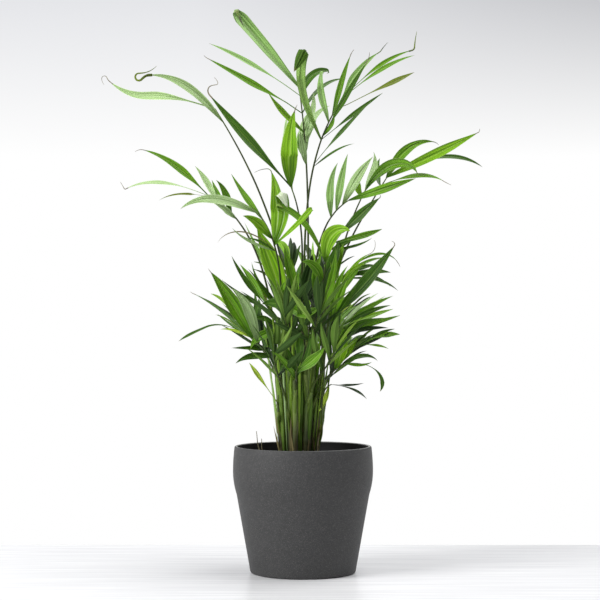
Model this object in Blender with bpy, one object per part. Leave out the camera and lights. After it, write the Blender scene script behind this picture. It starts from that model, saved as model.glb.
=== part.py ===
"""A young parlour palm in a round tapered pot, at its real size.

The pot is turned about the vertical axis and filled with soil. A clump of thin upright stems stands on the
soil. Each frond is one node: a tapering stalk that leaves its stem 0.3 mm clear, with narrow leaflets fused
on. All sizes are in millimetres and are turned to metres where a mesh is made. +X is to the right of the
front view, +Y is away from the viewer, +Z is up, and the origin is the centre of the pot's flat underside.
"""

import math
import random
from collections import namedtuple

import bmesh
import bpy
from mathutils import Vector
from mathutils.bvhtree import BVHTree

MM = 0.001
GAP = 0.3
UP = Vector((0.0, 0.0, 1.0))
RIGHT = Vector((1.0, 0.0, 0.0))

# Pot: a straight taper from the foot to a shoulder, then a soft bulge in to the rim.
POT_HEIGHT = 126.0
POT_FOOT_RADIUS = 52.5
POT_WIDEST_RADIUS = 70.0
POT_WIDEST_HEIGHT = 101.0
POT_RIM_RADIUS = 68.4
POT_SHOULDER_HEIGHT = 78.0
POT_SHOULDER_RADIUS = 66.3
POT_WALL = 3.0
POT_FLOOR = 4.0
POT_EDGE = 1.5
POT_CREST = 1.2
POT_SIDES = 48

# Soil: a level crown under the clump that falls away to the pot's wall.
SOIL_CROWN_HEIGHT = 117.0
SOIL_CROWN_RADIUS = 29.0
SOIL_EDGE_HEIGHT = 111.0
SOIL_SIDES = 32

# Clump: stems stand in a sunflower pattern and lean out with their distance from its middle.
STEM_COUNT = 16
CLUMP_MIDDLE = Vector((-5.0, 0.0, 0.0))
CLUMP_RADIUS = 20.5
GOLDEN_ANGLE = math.radians(137.508)
STEM_FOOT_RADIUS = 2.7
STEM_TIP_RADIUS = 1.9
STEM_SHORT = 62.0
STEM_TALL = 118.0
STEM_LEAN = 5.0
STEM_SIDES = 6
STEM_RINGS = 5

# Frond stalks: a stiff curve that thins from the stem to the last leaflet.
STALK_FOOT_RADIUS = 1.35
STALK_TIP_RADIUS = 0.75
STALK_SIDES = 4
STALK_SHARES = (0.0, 0.22, 0.43, 0.61, 0.76, 0.87, 0.95, 1.0)
STALK_RISE = 0.42
STALK_REACH = 0.30
STALK_SHIFTS = (0, 4, -4, 8, -8, 12, -12, 16, -16, 22, -22)

# Leaflets: a shallow gutter in section, narrow at the foot, drawn out to a point.
LEAF_STEPS = 24
LEAF_THICKNESS = 0.011
LEAF_LEAST_THICKNESS = 0.7
LEAF_GUTTER = 0.22
LEAF_FOOT_SHARE = 0.16
LEAF_FOOT_CURVE = 1.7
LEAF_TIP_CURVE = 1.5
LEAF_STRONG_BEND = 50
LEAF_HOOK_FROM = 0.62
LEAF_LEAST_HALF_WIDTH = 0.45
LEAF_ROOT = 0.6
LEAF_DEEPEST_GUTTER = 1.6
LEAF_TURNS = (0, 9, -9, 18, -18, 27, -27, 38, -38, 50, -50)

# at: share of the blade that lies below the leaflet's foot. heading: degrees above level, in the frond's own
# upright plane, where the leaflet sets out. bend: degrees it turns by its tip. widest: share of the length
# where it is widest. depth: degrees it leaves the plane by, away from the viewer. roll: how far its face turns
# to the side of that plane. neck: share of the length that stays as narrow as the foot. hook: degrees that the
# last part turns by on top of the bend.
LEAF_VALUES = "at heading length width bend widest depth roll neck hook"
Leaf = namedtuple("Leaf", LEAF_VALUES, defaults=(0, 0.5, 0, 70, 0, 0))
Frond = namedtuple("Frond", "name stem foot end heading blade leaves plane", defaults=(0.0,))
Stem = namedtuple("Stem", "name base direction height")

# The fronds that the front view shows, from the top down.
SHOWN_FRONDS = [
    Frond("frond_top_left", 3, 1.0, (-4, 22, 488), 98, 84, [
        Leaf(1.00, 129, 101, 15, 2, 0.85, 6),
        Leaf(0.90, 144, 115, 5.6, 14, 0.6, 16, neck=0.25),
        Leaf(0.70, 151, 110, 7, 2, 0.55, -10, neck=0.2),
        Leaf(0.85, 77, 52, 9, -82, 0.5, 26),
        Leaf(0.70, 61, 88, 5, -60, 0.5, 42),
        Leaf(0.45, 141, 62, 7, -18, 0.5, -35),
        Leaf(0.30, 80, 57, 11, -30, 0.5, 42),
        Leaf(0.05, 102, 43, 8, -2, 0.5, -42),
    ]),
    Frond("frond_top_right", 0, 1.0, (40, -20, 472), 54, 78, [
        Leaf(0.40, 118, 92, 11, -48, 0.8, -22),
        Leaf(0.65, 109, 54, 8, -32, 0.5, 16),
        Leaf(0.75, 76, 61, 6.5, -8, 0.42, -13),
        Leaf(0.90, 64, 73, 8, -32, 0.45, 19, neck=0.12),
        Leaf(1.00, 46, 87, 4.4, -32, 0.6, 10, neck=0.3),
        Leaf(1.00, 38, 84, 4.8, -28, 0.6, -19, neck=0.22),
        Leaf(0.45, 59, 95, 6.5, -4, 0.5, -35, neck=0.12),
        Leaf(0.80, 25, 90, 5.4, -4, 0.75, -22, neck=0.42),
        Leaf(0.40, 41, 87, 4.8, -6, 0.55, 22, neck=0.2),
        Leaf(0.10, 52, 101, 4.6, -8, 0.5, 32, neck=0.2),
        Leaf(0.05, 36, 59, 2.8, -32, 0.5, -42),
    ]),
    Frond("frond_far_left", 6, 1.0, (-89, 26, 466), 122, 20, [
        Leaf(0.20, 130, 93, 9.5, 56, 0.5, -10),
        Leaf(1.00, 161, 118, 9.5, 52, 0.55, 10, neck=0.22, hook=-75),
    ]),
    Frond("frond_forked", 2, 1.0, (-12, -34, 383), 112, 8, [
        Leaf(1.00, 132, 123, 10.5, -2, 0.5, 6, neck=0.1),
        Leaf(1.00, 94, 76, 18, -22, 0.42, -13),
        Leaf(0.60, 100, 96, 8, -20, 0.5, 32),
    ]),
    Frond("frond_mid_left", 9, 1.0, (-95, 14, 377), 152, 50, [
        Leaf(1.00, 134, 82, 8, 34, 0.45, -10, neck=0.12),
        Leaf(1.00, 158, 92, 4.2, 50, 0.6, 13, neck=0.28),
        Leaf(0.95, 170, 56, 2.6, 46, 0.4, -19, neck=0.3),
        Leaf(0.80, 117, 45, 7, 16, 0.45, 16),
        Leaf(0.45, 100, 39, 8.5, 40, 0.45, -26),
        Leaf(0.30, 138, 34, 7, 28, 0.45, -42),
    ]),
    Frond("frond_bright_left", 4, 1.0, (-44, -34, 357), 128, 42, [
        Leaf(1.00, 156, 84, 10, 68, 0.5, -19),
        Leaf(0.80, 127, 58, 6.5, -8, 0.45, 13),
        Leaf(0.30, 128, 43, 11, 44, 0.5, -32),
        Leaf(0.15, 84, 82, 14, 26, 0.5, 22),
        Leaf(0.15, 67, 52, 13, 44, 0.6, -19),
        Leaf(0.15, 40, 61, 6.2, 8, 0.65, -38),
    ]),
    Frond("frond_right_inner", 5, 1.0, (45, -26, 370), 32, 36, [
        Leaf(0.30, 94, 59, 8, -34, 0.42, 13),
        Leaf(0.55, 82, 58, 8, -10, 0.42, -13),
        Leaf(0.80, 64, 60, 11, -18, 0.5, 16),
        Leaf(1.00, 18, 70, 9.5, -2, 0.5, -13),
    ]),
    Frond("frond_right_folded", 13, 1.0, (64, 8, 385), 62, 18, [
        Leaf(0.40, 118, 27, 8, -54, 0.5, -26),
        Leaf(1.00, 54, 66, 12, -124, 0.55, -16),
        Leaf(0.85, 62, 51, 9, 46, 0.4, 32),
    ]),
    Frond("frond_right_high", 8, 1.0, (86, 38, 398), 58, 24, [
        Leaf(0.95, 62, 73, 11, -74, 0.42, 19),
        Leaf(1.00, 25, 103, 11.5, 2, 0.55, -8),
        Leaf(1.00, 29, 123, 6, -64, 0.72, 26, neck=0.3),
        Leaf(0.60, 19, 74, 5.8, -56, 0.55, -32, neck=0.2),
        Leaf(0.45, 102, 46, 7, -42, 0.5, 42),
    ]),
    Frond("frond_right_dark", 13, 0.8, (38, -22, 338), 50, 30, [
        Leaf(1.00, 45, 52, 10, -8, 0.5, -13),
        Leaf(0.60, 15, 52, 7, 6, 0.6, 16),
        Leaf(0.35, 5, 49, 3, 30, 0.5, -32),
    ]),
    Frond("frond_arched", 10, 1.0, (22, -40, 309), 88, 24, [
        Leaf(1.00, 113, 74, 7, 52, 0.6, -13),
        Leaf(1.00, 92, 51, 16, -130, 0.55, -22),
        Leaf(0.40, 60, 41, 11, 28, 0.5, 16),
        Leaf(0.10, 107, 35, 11, 86, 0.5, -22),
    ]),
    Frond("frond_broad_left", 1, 1.0, (-17, 2, 267), 102, 30, [
        Leaf(1.00, 108, 84, 21, 8, 0.5, 6),
        Leaf(0.80, 116, 121, 6, 0, 0.4, 32),
        Leaf(0.60, 81, 65, 11, 18, 0.5, -26),
        Leaf(0.40, 125, 84, 4.5, 6, 0.5, -38),
    ]),
    Frond("frond_centre", 0, 0.8, (-2, -20, 272), 84, 24, [
        Leaf(0.90, 73, 51, 14, 10, 0.5, -19),
        Leaf(0.90, 110, 59, 10, -12, 0.5, 16),
        Leaf(0.20, 104, 55, 9, -38, 0.5, -32),
    ]),
    Frond("frond_centre_right", 5, 0.72, (19, -26, 272), 72, 26, [
        Leaf(1.00, 69, 60, 12, 0, 0.5, -6),
        Leaf(0.70, 103, 58, 9, -46, 0.5, -29),
        Leaf(0.50, 46, 73, 8, 8, 0.5, 22),
    ]),
    Frond("frond_left_upper", 9, 0.66, (-35, -8, 264), 132, 26, [
        Leaf(1.00, 130, 64, 5.6, -16, 0.5, -10, neck=0.1),
        Leaf(0.95, 119, 57, 8.6, 12, 0.5, 19, neck=0.1),
        Leaf(0.80, 151, 66, 4.2, -14, 0.45, -29, neck=0.15),
    ]),
    Frond("frond_left_big", 12, 1.0, (-50, -22, 234), 138, 36, [
        Leaf(1.00, 118, 79, 15.5, 12, 0.48, -10),
        Leaf(0.80, 100, 74, 11.5, 44, 0.5, -35),
        Leaf(1.00, 137, 82, 3.4, 20, 0.5, 22),
        Leaf(1.00, 148, 80, 3, 146, 0.86, -3, neck=0.2, hook=-75),
        Leaf(1.00, 149, 53, 3, -8, 0.5, 35),
        Leaf(0.50, 48, 50, 12, 170, 0.5, -42),
    ]),
    Frond("frond_left_low", 12, 0.62, (-28, -16, 216), 150, 18, [
        Leaf(1.00, 173, 48, 7.5, 50, 0.45, -16),
        Leaf(0.70, 140, 34, 5, 22, 0.5, 29),
    ]),
    Frond("frond_left_lowest", 12, 0.42, (-27, -18, 173), 128, 6, [
        Leaf(0.60, 125, 48, 4.6, 0, 0.72, -6, neck=0.3),
    ]),
    Frond("frond_right_big", 13, 0.7, (35, -20, 260), 48, 24, [
        Leaf(1.00, 48, 87, 13, 6, 0.48, -13),
        Leaf(0.90, 79, 80, 5.5, -56, 0.5, 16),
        Leaf(0.75, 48, 47, 9, 10, 0.5, 38),
        Leaf(0.45, 76, 63, 10, -22, 0.5, -32),
    ]),
    Frond("frond_right_fine", 8, 0.74, (47, 8, 302), 40, 30, [
        Leaf(1.00, 42, 57, 3, -100, 0.5, -10, neck=0.2),
        Leaf(0.90, 22, 32, 6, -24, 0.5, 19),
        Leaf(0.70, 13, 51, 6.5, -26, 0.6, -22),
        Leaf(0.60, 5, 69, 3.2, -50, 0.6, 26),
        Leaf(0.40, 103, 48, 9, -66, 0.5, 38),
    ]),
    Frond("frond_right_spray", 13, 0.5, (36, -8, 245), 40, 26, [
        Leaf(1.00, 35, 65, 5.6, -16, 0.55, 13, neck=0.15),
        Leaf(0.95, 31, 64, 6.2, -22, 0.5, -29, neck=0.15),
        Leaf(0.80, 23, 75, 6.2, -10, 0.55, 32, neck=0.15),
        Leaf(0.70, 13, 68, 6, 4, 0.55, -6, neck=0.15),
        Leaf(0.55, 24, 66, 7.5, -12, 0.5, -42, neck=0.12),
        Leaf(0.35, 27, 49, 7, -28, 0.5, 35),
        Leaf(0.30, 65, 64, 6, -48, 0.5, 42),
    ]),
    Frond("frond_right_drooping", 8, 0.5, (57, 6, 227), 36, 34, [
        Leaf(1.00, 34, 40, 3.6, -28, 0.6, -13, neck=0.2),
        Leaf(1.00, 26, 45, 6, -36, 0.7, 16, neck=0.35),
        Leaf(1.00, 3, 33, 2.8, -32, 0.6, -29, neck=0.2),
        Leaf(0.80, 33, 47, 3.2, -28, 0.5, 35, neck=0.2),
        Leaf(0.15, 54, 37, 9, 0, 0.5, -22),
    ]),
    Frond("frond_right_low", 5, 0.5, (41, -8, 209), 30, 18, [
        Leaf(1.00, 30, 38, 5, -82, 0.45, 13),
        Leaf(1.00, -10, 30, 3.2, 40, 0.5, -22),
        Leaf(1.00, 2, 57, 4.4, -128, 0.82, -6, neck=0.5),
        Leaf(0.35, 71, 51, 13, 30, 0.5, -32),
    ]),
    Frond("frond_right_lowest", 13, 0.3, (28, -12, 188), 20, 10, [
        Leaf(1.00, -4, 34, 2.6, 18, 0.5, 13, neck=0.2),
        Leaf(1.00, -7, 40, 2.8, -46, 0.7, -13, neck=0.2),
    ]),
    Frond("frond_front_low", 15, 0.72, (-5, -44, 207), 74, 14, [
        Leaf(0.60, 35, 38, 11, 20, 0.5, -16),
        Leaf(0.60, 116, 30, 8.5, -2, 0.5, 16),
        Leaf(1.00, 82, 40, 9, 28, 0.5, 6),
    ]),
    Frond("frond_front_boat", 10, 0.8, (-17, -54, 268), 140, 12, [
        Leaf(0.95, -33, 38, 14, 96, 0.45, -16, 60),
        Leaf(0.60, 160, 28, 10, 42, 0.5, 13),
        Leaf(0.35, 125, 30, 9, -72, 0.5, -13),
    ]),
]

# The fronds that fill the crown behind, in front and low down follow one rule.
Ring = namedtuple("Ring", "name azimuths reach height blade pairs length width heading")
FILLER_RINGS = [
    Ring("frond_back_high", (70, 104), 74, 304, 46, 3, 62, 10, 42),
    Ring("frond_back_middle", (132, 92, 50), 76, 258, 42, 3, 58, 10.5, 42),
    Ring("frond_back_low", (142, 116, 86, 58, 34), 56, 222, 34, 2, 50, 10, 42),
    Ring("frond_front_high", (254, 288), 72, 266, 38, 2, 54, 11, 66),
    Ring("frond_front_middle", (240, 274, 304), 58, 226, 30, 2, 46, 10, 66),
]
FILLER_SPREAD = 44.0
FILLER_LIFT = 10.0
FILLER_FALL = -40.0
FILLER_ROLL = 32.0
FILLER_STAGGER = 0.13
FILLER_FEET = (0.86, 0.6, 0.4)
FILLER_TURN_TAKING = 9.0
PLANT_SEED = 7

TONES = {
    "pot": (0.075, 0.075, 0.078),
    "soil": (0.035, 0.022, 0.014),
    "stem": (0.09, 0.14, 0.035),
    "frond": (0.07, 0.23, 0.02),
}


def clear_scene():
    for obj in list(bpy.data.objects):
        bpy.data.objects.remove(obj, do_unlink=True)


def material(kind, roughness):
    """One Principled material for each kind of piece."""
    name = kind + "_finish"
    if name in bpy.data.materials:
        return bpy.data.materials[name]
    made = bpy.data.materials.new(name)
    made.use_nodes = True
    shader = made.node_tree.nodes["Principled BSDF"]
    shader.inputs["Base Color"].default_value = (*TONES[kind], 1.0)
    shader.inputs["Roughness"].default_value = roughness
    shader.inputs["Metallic"].default_value = 0.0
    return made


def mesh_object(name, points, faces, finish):
    """An object from points in millimetres and faces that point out."""
    mesh = bpy.data.meshes.new(name)
    mesh.from_pydata([tuple(p * MM) for p in points], [], faces)
    mesh.validate()
    mesh.materials.append(finish)
    obj = bpy.data.objects.new(name, mesh)
    bpy.context.scene.collection.objects.link(obj)
    return obj


def turned(name, profile, sides, finish):
    """A closed solid of revolution. The profile runs from the axis, round the outside and back."""
    bm = bmesh.new()
    first, last = profile[0], profile[-1]
    ring_of = []
    for radius, height in profile[1:-1]:
        ring = []
        for k in range(sides):
            angle = 2 * math.pi * k / sides
            spot = Vector((radius * math.cos(angle), radius * math.sin(angle), height))
            ring.append(bm.verts.new(spot * MM))
        ring_of.append(ring)
    start = bm.verts.new((0, 0, first[1] * MM))
    end = bm.verts.new((0, 0, last[1] * MM))
    for k in range(sides):
        n = (k + 1) % sides
        bm.faces.new((start, ring_of[0][n], ring_of[0][k]))
        bm.faces.new((end, ring_of[-1][k], ring_of[-1][n]))
        for low, high in zip(ring_of, ring_of[1:]):
            bm.faces.new((low[k], low[n], high[n], high[k]))
    mesh = bpy.data.meshes.new(name)
    bm.to_mesh(mesh)
    bm.free()
    mesh.materials.append(finish)
    mesh.shade_smooth()
    obj = bpy.data.objects.new(name, mesh)
    bpy.context.scene.collection.objects.link(obj)
    return obj


def pot_outer_radius(height):
    """Radius of the pot's outside: a straight taper, then a bulge through the widest place to the rim."""
    if height <= POT_SHOULDER_HEIGHT:
        share = height / POT_SHOULDER_HEIGHT
        return POT_FOOT_RADIUS + share * (POT_SHOULDER_RADIUS - POT_FOOT_RADIUS)
    if height <= POT_WIDEST_HEIGHT:
        share = (POT_WIDEST_HEIGHT - height) / (POT_WIDEST_HEIGHT - POT_SHOULDER_HEIGHT)
        return POT_WIDEST_RADIUS - share**2 * (POT_WIDEST_RADIUS - POT_SHOULDER_RADIUS)
    share = (height - POT_WIDEST_HEIGHT) / (POT_HEIGHT - POT_WIDEST_HEIGHT)
    return POT_WIDEST_RADIUS - share**2 * (POT_WIDEST_RADIUS - POT_RIM_RADIUS)


def make_pot():
    """The hollow pot, with a flat underside and a rounded foot and rim."""
    outside = [POT_EDGE, POT_SHOULDER_HEIGHT, 90, POT_WIDEST_HEIGHT, 114, POT_HEIGHT - POT_EDGE]
    inside = [POT_HEIGHT - POT_EDGE, 114, POT_WIDEST_HEIGHT, POT_SHOULDER_HEIGHT, POT_FLOOR]
    profile = [(0, 0), (POT_FOOT_RADIUS - POT_EDGE, 0)]
    profile += [(pot_outer_radius(h), h) for h in outside]
    crest = POT_RIM_RADIUS - POT_WALL / 2
    profile += [(crest + POT_CREST / 2, POT_HEIGHT), (crest - POT_CREST / 2, POT_HEIGHT)]
    profile += [(pot_outer_radius(h) - POT_WALL, h) for h in inside]
    profile += [(0, POT_FLOOR)]
    return turned("pot", profile, POT_SIDES, material("pot", 0.6))


def make_soil():
    """The soil that fills the pot, clear of its wall and floor all round."""
    edge = POT_WALL + GAP + 0.2
    foot = POT_FLOOR + GAP
    profile = [(0, foot), (pot_outer_radius(foot) - edge, foot)]
    sides = (POT_SHOULDER_HEIGHT, POT_WIDEST_HEIGHT, SOIL_EDGE_HEIGHT)
    profile += [(pot_outer_radius(h) - edge, h) for h in sides]
    profile += [(SOIL_CROWN_RADIUS + 12, SOIL_EDGE_HEIGHT + 2), (SOIL_CROWN_RADIUS, SOIL_CROWN_HEIGHT)]
    profile += [(0, SOIL_CROWN_HEIGHT)]
    return turned("soil", profile, SOIL_SIDES, material("soil", 0.95))


def plan_stems():
    """Where each stem stands, which way it leans and how tall it is."""
    stems = []
    draw = random.Random(PLANT_SEED)
    for k in range(STEM_COUNT):
        share = math.sqrt((k + 0.5) / STEM_COUNT)
        angle = k * GOLDEN_ANGLE
        out = Vector((math.cos(angle), math.sin(angle), 0.0))
        base = CLUMP_MIDDLE + out * CLUMP_RADIUS * share + UP * (SOIL_CROWN_HEIGHT + GAP)
        lean = math.radians(STEM_LEAN) * share
        direction = (UP * math.cos(lean) + out * math.sin(lean)).normalized()
        height = STEM_TALL - (STEM_TALL - STEM_SHORT) * share * draw.uniform(0.7, 1.0)
        stems.append(Stem(f"stem_{k + 1:02d}", base, direction, height))
    return stems


def ring_points(centre, along, side, radius, count):
    """Points of a ring of the given radius, square to along."""
    across = side - along * side.dot(along)
    across.normalize()
    other = along.cross(across)
    turns = [2 * math.pi * k / count for k in range(count)]
    return [centre + across * radius * math.cos(t) + other * radius * math.sin(t) for t in turns]


def tube(points, radii, sides, side=RIGHT):
    """Points and faces of a closed tapering tube along a line of points."""
    verts, faces = [], []
    for k, centre in enumerate(points):
        after = points[min(k + 1, len(points) - 1)]
        before = points[max(k - 1, 0)]
        verts += ring_points(centre, (after - before).normalized(), side, radii[k], sides)
    for k in range(len(points) - 1):
        for n in range(sides):
            m = (n + 1) % sides
            faces.append((k * sides + n, k * sides + m, (k + 1) * sides + m, (k + 1) * sides + n))
    faces.append(tuple(range(sides))[::-1])
    faces.append(tuple(range((len(points) - 1) * sides, len(points) * sides)))
    return verts, faces


def stem_point(stem, share):
    return stem.base + stem.direction * stem.height * share


def stem_radius(share):
    return STEM_FOOT_RADIUS + (STEM_TIP_RADIUS - STEM_FOOT_RADIUS) * share


def stem_tube(stem):
    """A stem's tube, cut level where it stands on the soil."""
    shares = [k / (STEM_RINGS - 1) for k in range(STEM_RINGS)]
    verts, faces = tube([stem_point(stem, s) for s in shares], [stem_radius(s) for s in shares], STEM_SIDES)
    for v in verts[:STEM_SIDES]:
        v.z = stem.base.z
    return verts, faces


def frond_axes(plane):
    """The level and the outward direction of the upright plane that a frond's headings are told in."""
    angle = math.radians(plane)
    level = Vector((math.cos(angle), math.sin(angle), 0.0))
    return level, UP.cross(level)


def stalk_curve(frond, stem, shift):
    """A cubic curve from the stem to the frond's end. shift bends it out of its plane, in millimetres."""
    level, out = frond_axes(frond.plane)
    end = Vector(frond.end)
    heading = math.radians(frond.heading)
    last = level * math.cos(heading) + UP * math.sin(heading)
    centre = stem_point(stem, frond.foot)
    if frond.foot >= 1.0:
        start = centre + stem.direction * GAP
    else:
        aside = end - centre
        aside -= stem.direction * aside.dot(stem.direction)
        start = centre + aside.normalized() * (stem_radius(frond.foot) + STALK_FOOT_RADIUS + GAP)
    span = (end - start).length
    rise = start + stem.direction * span * STALK_RISE + out * shift
    reach = end - last * span * STALK_REACH + out * shift
    return start, rise, reach, end


def curve_point(curve, t):
    a, b, c, d = curve
    s = 1 - t
    return a * s**3 + b * 3 * s * s * t + c * 3 * s * t * t + d * t**3


def stalk_line(curve):
    """The stalk's middle line as its tube is drawn: its rings stand closer where the leaflets are."""
    return [curve_point(curve, share) for share in STALK_SHARES]


def stalk_tube(line, grow=0.0):
    thinning = STALK_TIP_RADIUS - STALK_FOOT_RADIUS
    return tube(line, [STALK_FOOT_RADIUS + thinning * share + grow for share in STALK_SHARES], STALK_SIDES)


def blade_point(line, distance):
    """The point of the stalk's line at a distance back from its end, in millimetres."""
    for near, far in zip(line[::-1], line[-2::-1]):
        step = (far - near).length
        if distance <= step:
            return near + (far - near) * distance / step
        distance -= step
    return line[0]


def leaf_width(leaf, t):
    """Half the leaflet's width at share t of its length."""
    if t < leaf.widest:
        rise = max(0.0, t - leaf.neck) / (leaf.widest - leaf.neck)
        curve = rise**2 * (3 - 2 * rise) if leaf.neck else 1 - (1 - rise) ** LEAF_FOOT_CURVE
        shape = LEAF_FOOT_SHARE + (1 - LEAF_FOOT_SHARE) * curve
    else:
        shape = 1 - ((t - leaf.widest) / (1 - leaf.widest)) ** LEAF_TIP_CURVE
    return leaf.width / 2 * shape


def leaf_line(leaf, base, frond, turn):
    """The leaflet's middle line, and the normals of its upper face, at LEAF_STEPS even steps."""
    level, out = frond_axes(frond.plane)
    depth, roll = math.radians(leaf.depth + turn), math.radians(leaf.roll)
    points, normals = [], []
    here = base.copy()
    for k in range(LEAF_STEPS + 1):
        share = (k + 0.5) / LEAF_STEPS
        hooked = leaf.hook * max(0.0, share - LEAF_HOOK_FROM) / (1 - LEAF_HOOK_FROM)
        heading = math.radians(leaf.heading + leaf.bend * share**2 + hooked)
        flat = level * math.cos(heading) + UP * math.sin(heading)
        along = flat * math.cos(depth) + out * math.sin(depth)
        face = flat.cross(out) * (1 if math.cos(heading) > 0 else -1)
        normal = face * math.cos(roll) - out * math.sin(roll)
        points.append(here)
        normals.append((normal - along * normal.dot(along)).normalized())
        here = here + along * leaf.length / LEAF_STEPS
    return points, normals


def leaf_rings(leaf):
    """Shares of the leaflet's length where its section is drawn. One that bends much takes more of them."""
    w = leaf.widest
    if abs(leaf.bend) > LEAF_STRONG_BEND or leaf.neck or leaf.hook:
        return [0.0, w * 0.35, w * 0.7, w, w + (1 - w) * 0.4, w + (1 - w) * 0.75]
    return [0.0, w * 0.45, w, w + (1 - w) * 0.55]


def leaf_solid(leaf, base, frond, turn, grow=0.0):
    """Points and faces of one leaflet: a gutter-shaped blade of four corners a ring, closed at both ends."""
    points, normals = leaf_line(leaf, base, frond, turn)
    points[0] = points[0] - (points[1] - points[0]).normalized() * LEAF_ROOT
    verts, faces = [], []
    thick = max(leaf.length * LEAF_THICKNESS, LEAF_LEAST_THICKNESS) / 2 + grow
    shares = leaf_rings(leaf)
    for share in shares:
        k = round(share * LEAF_STEPS)
        along = points[min(k + 1, LEAF_STEPS)] - points[max(k - 1, 0)]
        across = normals[k].cross(along).normalized()
        half = max(leaf_width(leaf, k / LEAF_STEPS), LEAF_LEAST_HALF_WIDTH) + grow
        sink = normals[k] * min(half * LEAF_GUTTER, LEAF_DEEPEST_GUTTER)
        verts += [points[k] - across * half, points[k] - sink - normals[k] * thick]
        verts += [points[k] + across * half, points[k] - sink + normals[k] * thick]
    tip = len(verts)
    verts.append(points[-1] + (points[-1] - points[-2]).normalized() * grow)
    for k in range(len(shares) - 1):
        for n in range(4):
            m = (n + 1) % 4
            faces.append((4 * k + n, 4 * k + m, 4 * k + 4 + m, 4 * k + 4 + n))
    faces += [(tip - 4 + n, tip - 4 + (n + 1) % 4, tip) for n in range(4)]
    faces.append((3, 2, 1, 0))
    return verts, faces


def nearest_stem(stems, used, end):
    """The stem whose tip is nearest to a frond's end, passing over those that carry more fronds already."""
    tips = [stem_point(stem, 1.0) for stem in stems]
    return min(range(len(stems)), key=lambda k: (tips[k] - end).length + FILLER_TURN_TAKING * used.count(k))


def filler_fronds(stems):
    """Fronds by rule: a leaning stalk with pairs of leaflets that spread sideways and fall at their tips."""
    fronds = []
    used = [frond.stem for frond in SHOWN_FRONDS]
    draw = random.Random(PLANT_SEED)
    for ring in FILLER_RINGS:
        for k, azimuth in enumerate(ring.azimuths):
            plane = azimuth + draw.uniform(-6, 6)
            level, _ = frond_axes(plane)
            reach, height = ring.reach * draw.uniform(0.85, 1.15), ring.height * draw.uniform(0.95, 1.04)
            end = CLUMP_MIDDLE + level * reach + UP * height
            heading = ring.heading + draw.uniform(-10, 14)
            leaves = []
            for pair in range(ring.pairs):
                for side in (-1, 1):
                    at = (pair + 0.35 + FILLER_STAGGER * side) / ring.pairs
                    spread = FILLER_SPREAD * draw.uniform(0.8, 1.15) * (1 - 0.3 * at)
                    length = ring.length * draw.uniform(0.85, 1.1)
                    width = ring.width * draw.uniform(0.8, 1.15)
                    lift = heading + FILLER_LIFT + draw.uniform(-8, 12)
                    fall = FILLER_FALL * draw.uniform(0.6, 1.3)
                    roll = side * FILLER_ROLL
                    leaves.append(Leaf(at, lift, length, width, fall, 0.47, side * spread, roll))
            for side, at in ((-1, 0.93), (1, 1.0)):
                length, width, roll = ring.length * 0.95, ring.width * 1.25, side * FILLER_ROLL
                lift, spread = heading + 4 * at, side * 15.0 + 2 * at
                leaves.append(Leaf(at, lift, length, width, FILLER_FALL, 0.5, spread, roll))
            stem = nearest_stem(stems, used, end)
            foot = FILLER_FEET[len(used) % len(FILLER_FEET)]
            used.append(stem)
            fronds.append(Frond(f"{ring.name}_{k + 1}", stem, foot, end, heading, ring.blade, leaves, plane))
    return fronds


def bvh(verts, faces):
    return BVHTree.FromPolygons([tuple(v) for v in verts], faces)


def clear_of(verts, faces, taken):
    """True where the shape cuts none of the solids that stand already."""
    tree = bvh(verts, faces)
    return not any(tree.overlap(other) for other in taken)


def free_line(frond, stem, taken):
    """The stalk's line, bent aside until it is clear of what stands already."""
    for shift in STALK_SHIFTS:
        line = stalk_line(stalk_curve(frond, stem, shift))
        if clear_of(*stalk_tube(line, GAP * 0.7), taken):
            return line
    return None


def outer_part(verts, faces):
    """A leaflet without its foot, where it may cross its neighbours."""
    return bvh(verts, faces[4:-1])


def frond_solids(frond, stem, taken):
    """The stalk and each leaflet that finds room, swung out of its plane for it where need be."""
    line = free_line(frond, stem, taken)
    if line is None:
        print("no room for", frond.name)
        return []
    solids, outer = [stalk_tube(line)], []
    for k, leaf in enumerate(frond.leaves):
        base = blade_point(line, (1 - leaf.at) * frond.blade)
        for turn in LEAF_TURNS:
            solid = leaf_solid(leaf, base, frond, turn)
            part = outer_part(*solid)
            if any(part.overlap(other) for other in outer):
                continue
            if clear_of(*leaf_solid(leaf, base, frond, turn, GAP), taken):
                solids.append(solid)
                outer.append(part)
                break
        else:
            print("no room for a leaflet of", frond.name, k)
    return solids


def shells(mesh):
    """Lists of the mesh's faces, one for each closed surface, the largest first."""
    left = set(mesh.faces)
    found = []
    while left:
        group, edge = [], [left.pop()]
        while edge:
            face = edge.pop()
            group.append(face)
            for side in face.edges:
                for other in side.link_faces:
                    if other in left:
                        left.remove(other)
                        edge.append(other)
        found.append(group)
    return sorted(found, key=len, reverse=True)


def fused(name, solids, finish):
    """One node from the stalk and its leaflets, joined by one Boolean union on a collection."""
    body = mesh_object(name, *solids[0], finish)
    cutters = bpy.data.collections.new(name + "_leaflets")
    for k, (verts, faces) in enumerate(solids[1:]):
        piece = mesh_object(f"{name}_leaflet_{k}", verts, faces, finish)
        bpy.context.scene.collection.objects.unlink(piece)
        cutters.objects.link(piece)
    union = body.modifiers.new("union", "BOOLEAN")
    union.operation = "UNION"
    union.operand_type = "COLLECTION"
    union.collection = cutters
    union.solver = "MANIFOLD"
    graph = bpy.context.evaluated_depsgraph_get()
    joined = bpy.data.meshes.new_from_object(body.evaluated_get(graph))
    body.modifiers.clear()
    for piece in list(cutters.objects):
        bpy.data.objects.remove(piece, do_unlink=True)
    bpy.data.collections.remove(cutters)
    tidy_union(joined)
    body.data = joined
    return body


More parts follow.
